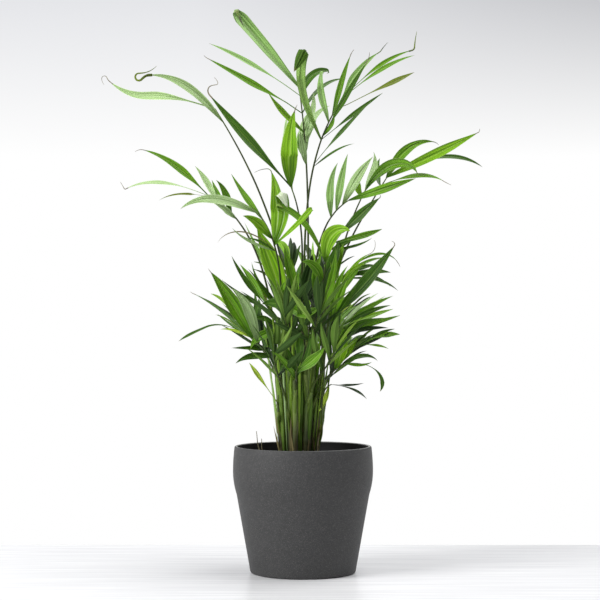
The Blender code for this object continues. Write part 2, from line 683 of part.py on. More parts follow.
def tidy_union(mesh):
    """Triangles only. Crossing leaflets can shut a pocket near the stalk: its inner surface is taken away."""
    bm = bmesh.new()
    bm.from_mesh(mesh)
    bmesh.ops.triangulate(bm, faces=bm.faces[:])
    for shell in shells(bm)[1:]:
        bmesh.ops.delete(bm, geom=shell, context="FACES")
    bm.to_mesh(mesh)
    bm.free()


def make_plant():
    """Stems first, then the fronds that show, then those that fill the crown."""
    stems = plan_stems()
    taken = []
    for stem in stems:
        verts, faces = stem_tube(stem)
        mesh_object(stem.name, verts, faces, material("stem", 0.5))
        taken.append(bvh(verts, faces))
    green = material("frond", 0.45)
    for frond in SHOWN_FRONDS + filler_fronds(stems):
        solids = frond_solids(frond, stems[frond.stem], taken)
        if not solids:
            continue
        body = fused(frond.name, solids, green)
        points = [v.co / MM for v in body.data.vertices]
        taken.append(bvh(points, [tuple(p.vertices) for p in body.data.polygons]))


def main():
    clear_scene()
    make_pot()
    make_soil()
    make_plant()


if __name__ == "__main__":
    main()
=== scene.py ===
"""The look of a young parlour palm in its round tapered pot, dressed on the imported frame.

The frame's fronds are plain blades. Here each is grown again by the rule of its source, with the same named
sizes, and carried on to finer forms: pleated leaflets with a folded middle, drawn-out tips and curls, smooth
stalks, sheaths, ringed canes, crumbly soil and a speckled pot. Lengths are in millimetres and become metres
where a mesh is made. +X is to the right of the front view, +Y is away from the viewer and +Z is up.
"""

import math
import random
from collections import namedtuple

import bmesh
import bpy
from mathutils import Matrix, Vector, noise
from mathutils.kdtree import KDTree


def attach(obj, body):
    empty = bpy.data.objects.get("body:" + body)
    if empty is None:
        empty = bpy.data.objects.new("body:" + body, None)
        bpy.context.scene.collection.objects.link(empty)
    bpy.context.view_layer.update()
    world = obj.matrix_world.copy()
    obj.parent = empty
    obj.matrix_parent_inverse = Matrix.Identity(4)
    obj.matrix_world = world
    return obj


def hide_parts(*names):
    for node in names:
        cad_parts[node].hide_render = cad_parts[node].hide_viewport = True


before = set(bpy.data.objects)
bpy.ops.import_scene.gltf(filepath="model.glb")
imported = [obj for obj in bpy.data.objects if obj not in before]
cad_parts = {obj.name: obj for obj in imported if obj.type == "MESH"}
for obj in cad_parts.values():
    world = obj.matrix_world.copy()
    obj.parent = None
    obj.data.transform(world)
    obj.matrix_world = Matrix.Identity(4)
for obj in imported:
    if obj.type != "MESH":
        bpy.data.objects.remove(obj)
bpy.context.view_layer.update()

MM = 0.001
UP = Vector((0.0, 0.0, 1.0))
RIGHT = Vector((1.0, 0.0, 0.0))

# Photo frame: one pixel is one millimetre in the upright plane through the pot's axis.
PHOTO_WIDTH_PX = 600
PHOTO_CENTRE_X = -3.0
CAMERA_DISTANCE = 1738.0
CAMERA_HEIGHT = 257.0
HORIZON_BELOW_MIDDLE_PX = 15
SENSOR_WIDTH = 36.0

# Pot: the frame's outline, with rounder edges. Its wall's own points end a little short of the rounded edges.
POT_HEIGHT = 126.0
POT_FOOT_RADIUS = 52.5
POT_WIDEST_RADIUS = 70.0
POT_WIDEST_HEIGHT = 101.0
POT_RIM_RADIUS = 68.4
POT_SHOULDER_HEIGHT = 78.0
POT_SHOULDER_RADIUS = 66.3
POT_WALL = 3.0
POT_FLOOR = 4.0
POT_FLOOR_RADIUS = 40.5
POT_UNDERSIDE_RADIUS = 43.5
POT_FOOT_ROUNDING = 2.6
POT_FOOT_STEPS = 7
POT_FOOT_ENDS_AT = -8
POT_RIM_ROUNDING = 0.9
POT_RIM_STEPS = 5
POT_WALL_FROM = POT_FOOT_ROUNDING + 1.0
POT_WALL_TO = POT_HEIGHT - 1.6
POT_WALL_STEPS = 26
POT_SIDES = 144
# Shares of painted shade on the inside wall and of a pale painted highlight on the rim's flat top and inner
# edge.
POT_INSIDE_PAINTED_SHADE = 0.9
POT_RIM_PAINTED_HIGHLIGHT = 0.7

# Soil: a crown under the clump that falls away to the pot's wall, roughened and strewn with grains. The
# lump is slimmer than the frame's fill by the slack, and its roughness fades out over the smooth edge.
SOIL_CROWN_HEIGHT = 117.0
SOIL_CROWN_RADIUS = 29.0
SOIL_EDGE_HEIGHT = 111.0
SOIL_SIDE_HEIGHTS = (40.0, POT_SHOULDER_HEIGHT, 90.0, POT_WIDEST_HEIGHT)
SOIL_SIDES = 96
SOIL_TOP_STEPS = 46
SOIL_AXIS_HOLE = 0.01
SOIL_SLACK = 0.2
SOIL_SMOOTH_EDGE = 3.0
SOIL_ROUGHNESS = 1.1
SOIL_LUMP = 7.0
SOIL_FINE_LUMP = 2.8

# Grains strewn on the soil: how many, how large in millimetres, their colours, and how wide a patch of colour
# is. They lie where the soil's face points upwards by more than LEVEL_ENOUGH. A bark chip's length, width and
# thickness are told for a size of 1.
Grains = namedtuple("Grains", "name kind per_square_metre smallest largest seed finish dark light lump")
SOIL_GRAINS = (
    Grains("soil_crumbs", "round", 190000, 0.5, 1.5, 3, "compost_crumbs", "#1B140D", "#4A3622", 1.5),
    Grains("bark_chips", "flat", 9000, 1.6, 3.6, 5, "bark_chips", "#3A2614", "#6B4A2C", 3.0),
)
LEVEL_ENOUGH = 0.4
GRAINS_FROM_HEIGHT = SOIL_EDGE_HEIGHT - 3
BARK_CHIP = (1.7, 0.9, 0.34)

# Clump: canes stand in a sunflower pattern and lean out with their distance from its middle.
STEM_COUNT = 16
CLUMP_MIDDLE = Vector((-5.0, 0.0, 0.0))
CLUMP_RADIUS = 20.5
GOLDEN_ANGLE = math.radians(137.508)
STEM_FOOT_RADIUS = 2.7
STEM_TIP_RADIUS = 1.9
STEM_SHORT = 62.0
STEM_TALL = 118.0
STEM_LEAN = 5.0
GAP = 0.3

# Frond stalks of the frame's rule.
STALK_FOOT_RADIUS = 1.35
STALK_TIP_RADIUS = 0.75
STALK_SIDES = 4
STALK_SHARES = (0.0, 0.22, 0.43, 0.61, 0.76, 0.87, 0.95, 1.0)
STALK_RISE = 0.42
STALK_REACH = 0.30
STALK_SHIFTS = (0, 4, -4, 8, -8, 12, -12, 16, -16, 22, -22)

# Leaflets of the frame's rule.
LEAF_STEPS = 24
LEAF_FOOT_SHARE = 0.16
LEAF_FOOT_CURVE = 1.7
LEAF_TIP_CURVE = 1.5
LEAF_HOOK_FROM = 0.62
LEAF_TURNS = (0, 9, -9, 18, -18, 27, -27, 38, -38, 50, -50)

# How near a point of the rule must lie to a corner of the frame's node to count as the same one.
SAME_POINT = 0.05

# at: share of the blade that lies below the leaflet's foot. heading: degrees above level, in the frond's
# own upright plane, where the leaflet sets out. bend: degrees it turns by its tip. widest: share of the
# length where it is widest. depth: degrees it leaves the plane by, away from the viewer. roll: how far its
# face turns to the side of that plane. neck: share of the length that stays as narrow as the foot. hook:
# degrees the last part turns by on top of the bend. tones: one letter of LEAF_TONES for each leaflet.
LEAF_VALUES = "at heading length width bend widest depth roll neck hook"
Leaf = namedtuple("Leaf", LEAF_VALUES, defaults=(0, 0.5, 0, 70, 0, 0))
Frond = namedtuple("Frond", "name stem foot end heading blade tones leaves plane", defaults=(0.0,))
Stem = namedtuple("Stem", "name base direction height")

# The fronds that the front view shows, from the top down.
SHOWN_FRONDS = [
    Frond("frond_top_left", 3, 1.0, (-4, 22, 488), 98, 84, "SSMDDLPP", [
        Leaf(1.00, 129, 101, 15, 2, 0.85, 6),
        Leaf(0.90, 144, 115, 5.6, 14, 0.6, 16, neck=0.25),
        Leaf(0.70, 151, 110, 7, 2, 0.55, -10, neck=0.2),
        Leaf(0.85, 77, 52, 9, -82, 0.5, 26),
        Leaf(0.70, 61, 88, 5, -60, 0.5, 42),
        Leaf(0.45, 141, 62, 7, -18, 0.5, -35),
        Leaf(0.30, 80, 57, 11, -30, 0.5, 42),
        Leaf(0.05, 102, 43, 8, -2, 0.5, -42),
    ]),
    Frond("frond_top_right", 0, 1.0, (40, -20, 472), 54, 78, "FSMSMMDODDD", [
        Leaf(0.40, 118, 92, 11, -48, 0.8, -22),
        Leaf(0.65, 109, 54, 8, -32, 0.5, 16),
        Leaf(0.75, 76, 61, 6.5, -8, 0.42, -13),
        Leaf(0.90, 64, 73, 8, -32, 0.45, 19, neck=0.12),
        Leaf(1.00, 46, 87, 4.4, -32, 0.6, 10, neck=0.3),
        Leaf(1.00, 38, 84, 4.8, -28, 0.6, -19, neck=0.22),
        Leaf(0.45, 59, 95, 6.5, -4, 0.5, -35, neck=0.12),
        Leaf(0.80, 25, 90, 5.4, -4, 0.75, -22, neck=0.42),
        Leaf(0.40, 41, 87, 4.8, -6, 0.55, 22, neck=0.2),
        Leaf(0.10, 52, 101, 4.6, -8, 0.5, 32, neck=0.2),
        Leaf(0.05, 36, 59, 2.8, -32, 0.5, -42),
    ]),
    Frond("frond_far_left", 6, 1.0, (-89, 26, 466), 122, 20, "PP", [
        Leaf(0.20, 130, 93, 9.5, 56, 0.5, -10),
        Leaf(1.00, 161, 118, 9.5, 52, 0.55, 10, neck=0.22, hook=-75),
    ]),
    Frond("frond_forked", 2, 1.0, (-12, -34, 383), 112, 8, "DLP", [
        Leaf(1.00, 132, 123, 10.5, -2, 0.5, 6, neck=0.1),
        Leaf(1.00, 94, 76, 18, -22, 0.42, -13),
        Leaf(0.60, 100, 96, 8, -20, 0.5, 32),
    ]),
    Frond("frond_mid_left", 9, 1.0, (-95, 14, 377), 152, 50, "MPOPMP", [
        Leaf(1.00, 134, 82, 8, 34, 0.45, -10, neck=0.12),
        Leaf(1.00, 158, 92, 4.2, 50, 0.6, 13, neck=0.28),
        Leaf(0.95, 170, 56, 2.6, 46, 0.4, -19, neck=0.3),
        Leaf(0.80, 117, 45, 7, 16, 0.45, 16),
        Leaf(0.45, 100, 39, 8.5, 40, 0.45, -26),
        Leaf(0.30, 138, 34, 7, 28, 0.45, -42),
    ]),
    Frond("frond_bright_left", 4, 1.0, (-44, -34, 357), 128, 42, "PMLLGL", [
        Leaf(1.00, 156, 84, 10, 68, 0.5, -19),
        Leaf(0.80, 127, 58, 6.5, -8, 0.45, 13),
        Leaf(0.30, 128, 43, 11, 44, 0.5, -32),
        Leaf(0.15, 84, 82, 14, 26, 0.5, 22),
        Leaf(0.15, 67, 52, 13, 44, 0.6, -19),
        Leaf(0.15, 40, 61, 6.2, 8, 0.65, -38),
    ]),
    Frond("frond_right_inner", 5, 1.0, (45, -26, 370), 32, 36, "SSPM", [
        Leaf(0.30, 94, 59, 8, -34, 0.42, 13),
        Leaf(0.55, 82, 58, 8, -10, 0.42, -13),
        Leaf(0.80, 64, 60, 11, -18, 0.5, 16),
        Leaf(1.00, 18, 70, 9.5, -2, 0.5, -13),
    ]),
    Frond("frond_right_folded", 13, 1.0, (64, 8, 385), 62, 18, "LMP", [
        Leaf(0.40, 118, 27, 8, -54, 0.5, -26),
        Leaf(1.00, 54, 66, 12, -124, 0.55, -16),
        Leaf(0.85, 62, 51, 9, 46, 0.4, 32),
    ]),
    Frond("frond_right_high", 8, 1.0, (86, 38, 398), 58, 24, "MLDMD", [
        Leaf(0.95, 62, 73, 11, -74, 0.42, 19),
        Leaf(1.00, 25, 103, 11.5, 2, 0.55, -8),
        Leaf(1.00, 29, 123, 6, -64, 0.72, 26, neck=0.3),
        Leaf(0.60, 19, 74, 5.8, -56, 0.55, -32, neck=0.2),
        Leaf(0.45, 102, 46, 7, -42, 0.5, 42),
    ]),
    Frond("frond_right_dark", 13, 0.8, (38, -22, 338), 50, 30, "DMD", [
        Leaf(1.00, 45, 52, 10, -8, 0.5, -13),
        Leaf(0.60, 15, 52, 7, 6, 0.6, 16),
        Leaf(0.35, 5, 49, 3, 30, 0.5, -32),
    ]),
    Frond("frond_arched", 10, 1.0, (22, -40, 309), 88, 24, "MLDM", [
        Leaf(1.00, 113, 74, 7, 52, 0.6, -13),
        Leaf(1.00, 92, 51, 16, -130, 0.55, -22),
        Leaf(0.40, 60, 41, 11, 28, 0.5, 16),
        Leaf(0.10, 107, 35, 11, 86, 0.5, -22),
    ]),
    Frond("frond_broad_left", 1, 1.0, (-17, 2, 267), 102, 30, "LMLD", [
        Leaf(1.00, 108, 84, 21, 8, 0.5, 6),
        Leaf(0.80, 116, 121, 6, 0, 0.4, 32),
        Leaf(0.60, 81, 65, 11, 18, 0.5, -26),
        Leaf(0.40, 125, 84, 4.5, 6, 0.5, -38),
    ]),
    Frond("frond_centre", 0, 0.8, (-2, -20, 272), 84, 24, "KMM", [
        Leaf(0.90, 73, 51, 14, 10, 0.5, -19),
        Leaf(0.90, 110, 59, 10, -12, 0.5, 16),
        Leaf(0.20, 104, 55, 9, -38, 0.5, -32),
    ]),
    Frond("frond_centre_right", 5, 0.72, (19, -26, 272), 72, 26, "LMM", [
        Leaf(1.00, 69, 60, 12, 0, 0.5, -6),
        Leaf(0.70, 103, 58, 9, -46, 0.5, -29),
        Leaf(0.50, 46, 73, 8, 8, 0.5, 22),
    ]),
    Frond("frond_left_upper", 9, 0.66, (-35, -8, 264), 132, 26, "DMD", [
        Leaf(1.00, 130, 64, 5.6, -16, 0.5, -10, neck=0.1),
        Leaf(0.95, 119, 57, 8.6, 12, 0.5, 19, neck=0.1),
        Leaf(0.80, 151, 66, 4.2, -14, 0.45, -29, neck=0.15),
    ]),
    Frond("frond_left_big", 12, 1.0, (-50, -22, 234), 138, 36, "MPDDDD", [
        Leaf(1.00, 118, 79, 15.5, 12, 0.48, -10),
        Leaf(0.80, 100, 74, 11.5, 44, 0.5, -35),
        Leaf(1.00, 137, 82, 3.4, 20, 0.5, 22),
        Leaf(1.00, 148, 80, 3, 146, 0.86, -3, neck=0.2, hook=-75),
        Leaf(1.00, 149, 53, 3, -8, 0.5, 35),
        Leaf(0.50, 48, 50, 12, 170, 0.5, -42),
    ]),
    Frond("frond_left_low", 12, 0.62, (-28, -16, 216), 150, 18, "DD", [
        Leaf(1.00, 173, 48, 7.5, 50, 0.45, -16),
        Leaf(0.70, 140, 34, 5, 22, 0.5, 29),
    ]),
    Frond("frond_left_lowest", 12, 0.42, (-27, -18, 173), 128, 6, "Y", [
        Leaf(0.60, 125, 48, 4.6, 0, 0.72, -6, neck=0.3),
    ]),
    Frond("frond_right_big", 13, 0.7, (35, -20, 260), 48, 24, "DLYM", [
        Leaf(1.00, 48, 87, 13, 6, 0.48, -13),
        Leaf(0.90, 79, 80, 5.5, -56, 0.5, 16),
        Leaf(0.75, 48, 47, 9, 10, 0.5, 38),
        Leaf(0.45, 76, 63, 10, -22, 0.5, -32),
    ]),
    Frond("frond_right_fine", 8, 0.74, (47, 8, 302), 40, 30, "MDDDM", [
        Leaf(1.00, 42, 57, 3, -100, 0.5, -10, neck=0.2),
        Leaf(0.90, 22, 32, 6, -24, 0.5, 19),
        Leaf(0.70, 13, 51, 6.5, -26, 0.6, -22),
        Leaf(0.60, 5, 69, 3.2, -50, 0.6, 26),
        Leaf(0.40, 103, 48, 9, -66, 0.5, 38),
    ]),
    Frond("frond_right_spray", 13, 0.5, (36, -8, 245), 40, 26, "MDLMDLM", [
        Leaf(1.00, 35, 65, 5.6, -16, 0.55, 13, neck=0.15),
        Leaf(0.95, 31, 64, 6.2, -22, 0.5, -29, neck=0.15),
        Leaf(0.80, 23, 75, 6.2, -10, 0.55, 32, neck=0.15),
        Leaf(0.70, 13, 68, 6, 4, 0.55, -6, neck=0.15),
        Leaf(0.55, 24, 66, 7.5, -12, 0.5, -42, neck=0.12),
        Leaf(0.35, 27, 49, 7, -28, 0.5, 35),
        Leaf(0.30, 65, 64, 6, -48, 0.5, 42),
    ]),
    Frond("frond_right_drooping", 8, 0.5, (57, 6, 227), 36, 34, "DMLDM", [
        Leaf(1.00, 34, 40, 3.6, -28, 0.6, -13, neck=0.2),
        Leaf(1.00, 26, 45, 6, -36, 0.7, 16, neck=0.35),
        Leaf(1.00, 3, 33, 2.8, -32, 0.6, -29, neck=0.2),
        Leaf(0.80, 33, 47, 3.2, -28, 0.5, 35, neck=0.2),
        Leaf(0.15, 54, 37, 9, 0, 0.5, -22),
    ]),
    Frond("frond_right_low", 5, 0.5, (41, -8, 209), 30, 18, "DMDL", [
        Leaf(1.00, 30, 38, 5, -82, 0.45, 13),
        Leaf(1.00, -10, 30, 3.2, 40, 0.5, -22),
        Leaf(1.00, 2, 57, 4.4, -128, 0.82, -6, neck=0.5),
        Leaf(0.35, 71, 51, 13, 30, 0.5, -32),
    ]),
    Frond("frond_right_lowest", 13, 0.3, (28, -12, 188), 20, 10, "KK", [
        Leaf(1.00, -4, 34, 2.6, 18, 0.5, 13, neck=0.2),
        Leaf(1.00, -7, 40, 2.8, -46, 0.7, -13, neck=0.2),
    ]),
    Frond("frond_front_low", 15, 0.72, (-5, -44, 207), 74, 14, "MDD", [
        Leaf(0.60, 35, 38, 11, 20, 0.5, -16),
        Leaf(0.60, 116, 30, 8.5, -2, 0.5, 16),
        Leaf(1.00, 82, 40, 9, 28, 0.5, 6),
    ]),
    Frond("frond_front_boat", 10, 0.8, (-17, -54, 268), 140, 12, "MDM", [
        Leaf(0.95, -33, 38, 14, 96, 0.45, -16, 60),
        Leaf(0.60, 160, 28, 10, 42, 0.5, 13),
        Leaf(0.35, 125, 30, 9, -72, 0.5, -13),
    ]),
]

# The fronds that fill the crown behind, in front and low down follow one rule.
Ring = namedtuple("Ring", "name azimuths reach height blade pairs length width heading")
FILLER_RINGS = [
    Ring("frond_back_high", (70, 104), 74, 304, 46, 3, 62, 10, 42),
    Ring("frond_back_middle", (132, 92, 50), 76, 258, 42, 3, 58, 10.5, 42),
    Ring("frond_back_low", (142, 116, 86, 58, 34), 56, 222, 34, 2, 50, 10, 42),
    Ring("frond_front_high", (254, 288), 72, 266, 38, 2, 54, 11, 66),
    Ring("frond_front_middle", (240, 274, 304), 58, 226, 30, 2, 46, 10, 66),
]
FILLER_SPREAD = 44.0
FILLER_LIFT = 10.0
FILLER_FALL = -40.0
FILLER_ROLL = 32.0
FILLER_STAGGER = 0.13
FILLER_FEET = (0.86, 0.6, 0.4)
FILLER_TURN_TAKING = 9.0
# Leaflets of the fronds that fill the crown are mostly of the deep and shade tones: painted shade inside the
# crown.
FILLER_TONES = "DKKMDKDLK"
PLANT_SEED = 7

# Leaf ends that run on past the frame's blade. A tail is the blade itself, folded over forwards by an angle
# within span, or backwards where fold is below nought. It then keeps on at skew degrees to the blade.
# widest is the share of the whole where the blade starts to narrow.
Tail = namedtuple("Tail", "length fold span skew widest", defaults=(0, 0.5))
TAILS = {
    ("frond_top_left", 0): Tail(7, 168, 4, 22, 0.86),
    ("frond_top_right", 0): Tail(24, 166, 4, 3, 0.86),
    ("frond_top_left", 3): Tail(10, -100, 8),
    ("frond_top_right", 1): Tail(8, -120, 6),
    ("frond_bright_left", 4): Tail(17, 160, 5, 4, 0.72),
    ("frond_arched", 0): Tail(10, 150, 4, 30, 0.8),
    ("frond_bright_left", 5): Tail(7, -150, 4, 0, 0.86),
}

# Slim leaflets between those of the frame, which has room only for the larger ones: tone and form by frond.
EXTRA_LEAFLETS = {
    "frond_left_big": (
        ("Y", Leaf(1.00, 152, 34, 3.4, 38, 0.45, 6)),
        ("D", Leaf(1.00, 128, 48, 2.2, 10, 0.5, 13)),
    ),
    "frond_left_upper": (
        ("M", Leaf(0.05, 194, 43, 10.5, 62, 0.45, -38)),
        ("O", Leaf(0.55, 114, 58, 3.6, 18, 0.55, 16)),
        ("D", Leaf(0.15, 135, 32, 6, 100, 0.5, -22)),
    ),
    "frond_bright_left": (
        ("P", Leaf(0.00, 163, 56, 3.2, -30, 0.55, -32)),
        ("R", Leaf(0.05, 142, 67, 1.5, 100, 0.5, -16)),
        ("D", Leaf(0.00, 146, 42, 3.0, 34, 0.5, -42)),
    ),
    "frond_broad_left": (
        ("M", Leaf(0.55, 135, 79, 4.2, -36, 0.5, -32)),
    ),
    "frond_right_spray": (
        ("P", Leaf(0.70, 36, 76, 4.6, -4, 0.55, 32)),
        ("P", Leaf(0.90, 46, 76, 4.0, -18, 0.5, 42)),
        ("K", Leaf(0.40, 18, 62, 5.0, -24, 0.6, -19)),
        ("D", Leaf(0.20, 34, 80, 6.0, -28, 0.5, -42)),
        ("K", Leaf(0.20, 20, 56, 5.0, 0, 0.5, 26)),
        ("K", Leaf(0.15, 108, 61, 9, -60, 0.5, 38)),
        ("K", Leaf(0.05, 121, 54, 8, -58, 0.5, 29)),
    ),
    "frond_right_low": (
        ("K", Leaf(0.15, 100, 54, 7, -12, 0.5, 29)),
    ),
    "frond_right_lowest": (
        ("Y", Leaf(0.65, -104, 29, 5, -24, 0.45, -16)),
    ),
    "frond_right_drooping": (
        ("K", Leaf(0.70, 26, 47, 3.2, 0, 0.6, 13)),
        ("L", Leaf(0.45, 64, 31, 6.0, -14, 0.5, -42)),
    ),
    "frond_right_big": (
        ("D", Leaf(0.45, 56, 60, 6.5, 6, 0.5, -42)),
        ("M", Leaf(0.30, 86, 80, 7.0, -34, 0.5, -42)),
    ),
    "frond_right_fine": (
        ("M", Leaf(0.80, 35, 51, 3.6, -38, 0.5, 26)),
        ("L", Leaf(0.50, 46, 35, 5.0, -38, 0.5, -26)),
        ("D", Leaf(0.80, 1, 50, 3.0, -52, 0.5, -13)),
    ),
    "frond_right_dark": (
        ("D", Leaf(0.35, 26, 29, 6.0, -10, 0.5, -38)),
    ),
    "frond_centre": (
        ("D", Leaf(0.20, 115, 68, 6.0, -48, 0.5, 29)),
        ("K", Leaf(0.50, 60, 58, 6.0, 32, 0.5, 22)),
    ),
    "frond_centre_right": (
        ("L", Leaf(0.45, 59, 56, 6.0, 58, 0.5, -13)),
        ("K", Leaf(0.50, 121, 50, 6.0, -46, 0.5, 26)),
        ("M", Leaf(0.30, 68, 78, 7, 24, 0.5, -26)),
        ("K", Leaf(0.20, 78, 75, 8, 34, 0.5, 22)),
    ),
    "frond_top_left": (
        ("P", Leaf(0.35, 75, 63, 7.0, -56, 0.5, 38)),
        ("P", Leaf(0.20, 97, 44, 12, -36, 0.5, 10)),
        ("S", Leaf(0.10, 114, 42, 7, -58, 0.5, 22)),
        ("P", Leaf(0.45, 66, 47, 7.0, 36, 0.5, 19)),
    ),
    "frond_top_right": (
        ("M", Leaf(0.45, 46, 28, 4.0, 64, 0.5, -22)),
    ),
    "frond_mid_left": (
        ("M", Leaf(0.60, 119, 33, 5.0, -10, 0.45, 16)),
        ("L", Leaf(0.30, 140, 30, 4.0, 16, 0.45, -32)),
    ),
    "frond_front_low": (
        ("D", Leaf(0.10, 60, 51, 6.0, 44, 0.5, -13)),
        ("M", Leaf(0.00, 118, 39, 6.0, 38, 0.5, -22)),
    ),
}
# Leaflets of the frame that are grown another way here, from those above.
REGROWN = {("frond_left_big", 5)}
# Leaflets that stand between each pair of a frond that fills the crown: share of the pair's width and length.
BETWEEN_WIDTH = 0.56
BETWEEN_LENGTH = 0.98
# The frame's leaflets in front are broad. Fine ones are slimmer.
FRONT_SLIMNESS = 0.62

# Drawn-out leaf ends, thin as threads: radius at the start, skin, and stretches of (length, degrees turned)
# in the frond's own plane. The skin is dried, dark as the stalk, or olive.
DRIED, DARK, OLIVE = range(3)
Thread = namedtuple("Thread", "radius skin stretches")
THREADS = {
    ("frond_far_left", 0): Thread(1.5, OLIVE, ((4, 30), (5, 15), (14, -225), (4, 0), (16, 40))),
    ("frond_far_left", 1): Thread(0.45, DRIED, ((5, -30), (3, 60), (5, 100), (6, 40))),
    ("frond_forked", 0): Thread(0.75, DRIED, ((6, -50), (5, -60), (5, -15), (4, 110), (5, 20))),
    ("frond_forked", 1): Thread(0.6, DRIED, ((5, -14),)),
    ("frond_mid_left", 0): Thread(0.4, DRIED, ((3, 20), (5, 30))),
    ("frond_mid_left", 1): Thread(0.5, DRIED, ((1.5, -85), (8, 0))),
    ("frond_bright_left", 3): Thread(0.5, DARK, ((6, 70), (14, 30))),
    ("frond_top_left", 0): Thread(1.7, DARK, ((18, 0),)),
    ("frond_top_left", 2): Thread(0.4, DRIED, ((4, -20),)),
    ("frond_top_right", 2): Thread(0.4, DRIED, ((6, -20),)),
    ("frond_top_right", 3): Thread(0.6, DARK, ((5, 25), (10, -15))),
    ("frond_top_right", 4): Thread(0.9, OLIVE, ((5, 70), (16, -8))),
    ("frond_top_right", 6): Thread(0.5, DRIED, ((6, 25), (4, 10))),
    ("frond_right_high", 0): Thread(0.5, DARK, ((6, -40),)),
    ("frond_right_high", 1): Thread(0.45, DRIED, ((4, 70),)),
    ("frond_right_high", 3): Thread(0.4, DRIED, ((9, 8),)),
    ("frond_right_folded", 1): Thread(0.5, DARK, ((5, 70), (6, 10))),
    ("frond_right_dark", 0): Thread(0.5, DARK, ((3, 60),)),
    ("frond_right_big", 0): Thread(0.55, DRIED, ((3, 60), (3, 50))),
    ("frond_right_big", 1): Thread(0.35, DRIED, ((7, 40), (10, 40))),
    ("frond_left_big", 2): Thread(0.4, DRIED, ((3, -10),)),
    ("frond_left_big", 0): Thread(0.4, DRIED, ((3, -10),)),
    ("frond_right_fine", 0): Thread(0.35, DRIED, ((5, -10),)),
}
TAIL_FOLD_STEPS = 5
TAIL_STEPS = 6
THREAD_STEP = 1.2
THREAD_TIP_RADIUS = 0.16
THREAD_SIDES = 6

# Finer blade: a folded gutter with lengthwise pleats, a raised middle rib below and thin wavy margins.
# Where half the blade is narrower than the numbers named NARROW, it is thinner and its rib and waves are
# lower.
BLADE_GUTTER = 0.44
BLADE_DEEPEST_GUTTER = 3.2
BLADE_GUTTER_CURVE = 1.25
BLADE_THICKNESS = 0.34
BLADE_MARGIN_THICKNESS = 0.10
BLADE_NARROW_FOR_THICKNESS = 1.2
BLADE_RIB = 0.28
BLADE_RIB_SHARE = 0.12
BLADE_NARROW_FOR_RIB = 3.0
PLEAT_DEPTH = 0.10
PLEAT_DEEPEST = 0.26
MARGIN_WAVE = 0.30
BLADE_NARROW_FOR_WAVE = 4.0
BLADE_TWIST = 16.0
BLADE_NARROWEST_HALF = 0.12
# Narrower than the first number, a blade has so many columns across and so many pleats a side.
BLADE_COLUMNS = ((6.0, 8, 0.0), (9.5, 14, 1.5), (99.0, 20, 2.5))
# A leaflet's foot moves onto the smooth stalk from this far off, and its first points go with it.
FOOT_REACH = 2.0
FOOT_BLEND_POINTS = 4

# Stalks: round, and finer than the frame's.
STALK_ROUND_SIDES = 8
STALK_LINE_STEPS = 5
STALK_FINE_FOOT = 1.3
STALK_FINE_TIP = 0.55

# Canes: swaying a little, sunk into the soil, with a raised ring at each joint, slimmer towards the next
# one, and three soft lobes round them.
CANE_SIDES = 14
CANE_RINGS = 44
CANE_SWAY = 0.7
CANE_SINK = 3.0
CANE_SINK_CURVE = 8
CANE_RING_SPACING = 19.0
CANE_RING_RISE = 0.35
CANE_RING_WIDTH = 1.6
CANE_TAPER = 0.03
CANE_LOBES = 0.035

# Sheaths: over the first share of its steps a sheath wraps the cane, and then it runs onto the stalk. The
# stalk starts inside it.
SHEATH_BELOW = 30.0
SHEATH_ABOVE = 13.0
SHEATH_WALL = 0.45
SHEATH_HIDDEN_FOOT = 0.2
SHEATH_SHOULDER = 0.3
SHEATH_STEPS = 12
SHEATH_SIDES = 12
SHEATH_WRAP_SHARE = 0.55
SHEATH_HASTE = 1.15
SHEATH_STALK_FROM = 0.45

# Young leaves still folded shut: broad ones, and slim ones further out.
Spears = namedtuple("Spears", "count radius shortest tallest width turn tones")
SPEAR_ROWS = (
    Spears(22, 19.0, 58.0, 150.0, 7.6, 1.0, "MDLM"),
    Spears(18, 22.0, 80.0, 178.0, 2.6, 2.3, "LSL"),
)
SPEAR_LEAN = 5.0
SPEAR_ROLL = 20.0

# Dry scales at the canes' feet: the first one starts at this share of its cane, and the next so much higher.
SCALES_PER_CANE = 2
SCALE_LENGTH = 30.0
SCALE_WIDTH = 3.6
SCALE_HEADING = 86.0
SCALE_FROM = 0.02
SCALE_RISE = 0.2
SCALE_INTO_CANE = 0.4

# Dead stubs at both sides of the clump: foot, and tip.
STUBS = (
    (Vector((-42.0, 0.0, 112.0)), Vector((-47.0, -2.0, 141.0))),
    (Vector((-39.5, 4.0, 112.0)), Vector((-42.0, 5.0, 133.0))),
    (Vector((13.5, -12.0, 116.0)), Vector((16.5, -14.0, 141.0))),
)
STUB_RADIUS = 0.75
STUB_TIP_RADIUS = 0.3
STUB_STEPS = 8
STUB_SIDES = 7
STUB_SWAY = 0.4

# A frond of the front view belongs to the upper crown from this height on.
UPPER_FROM_HEIGHT = 340.0

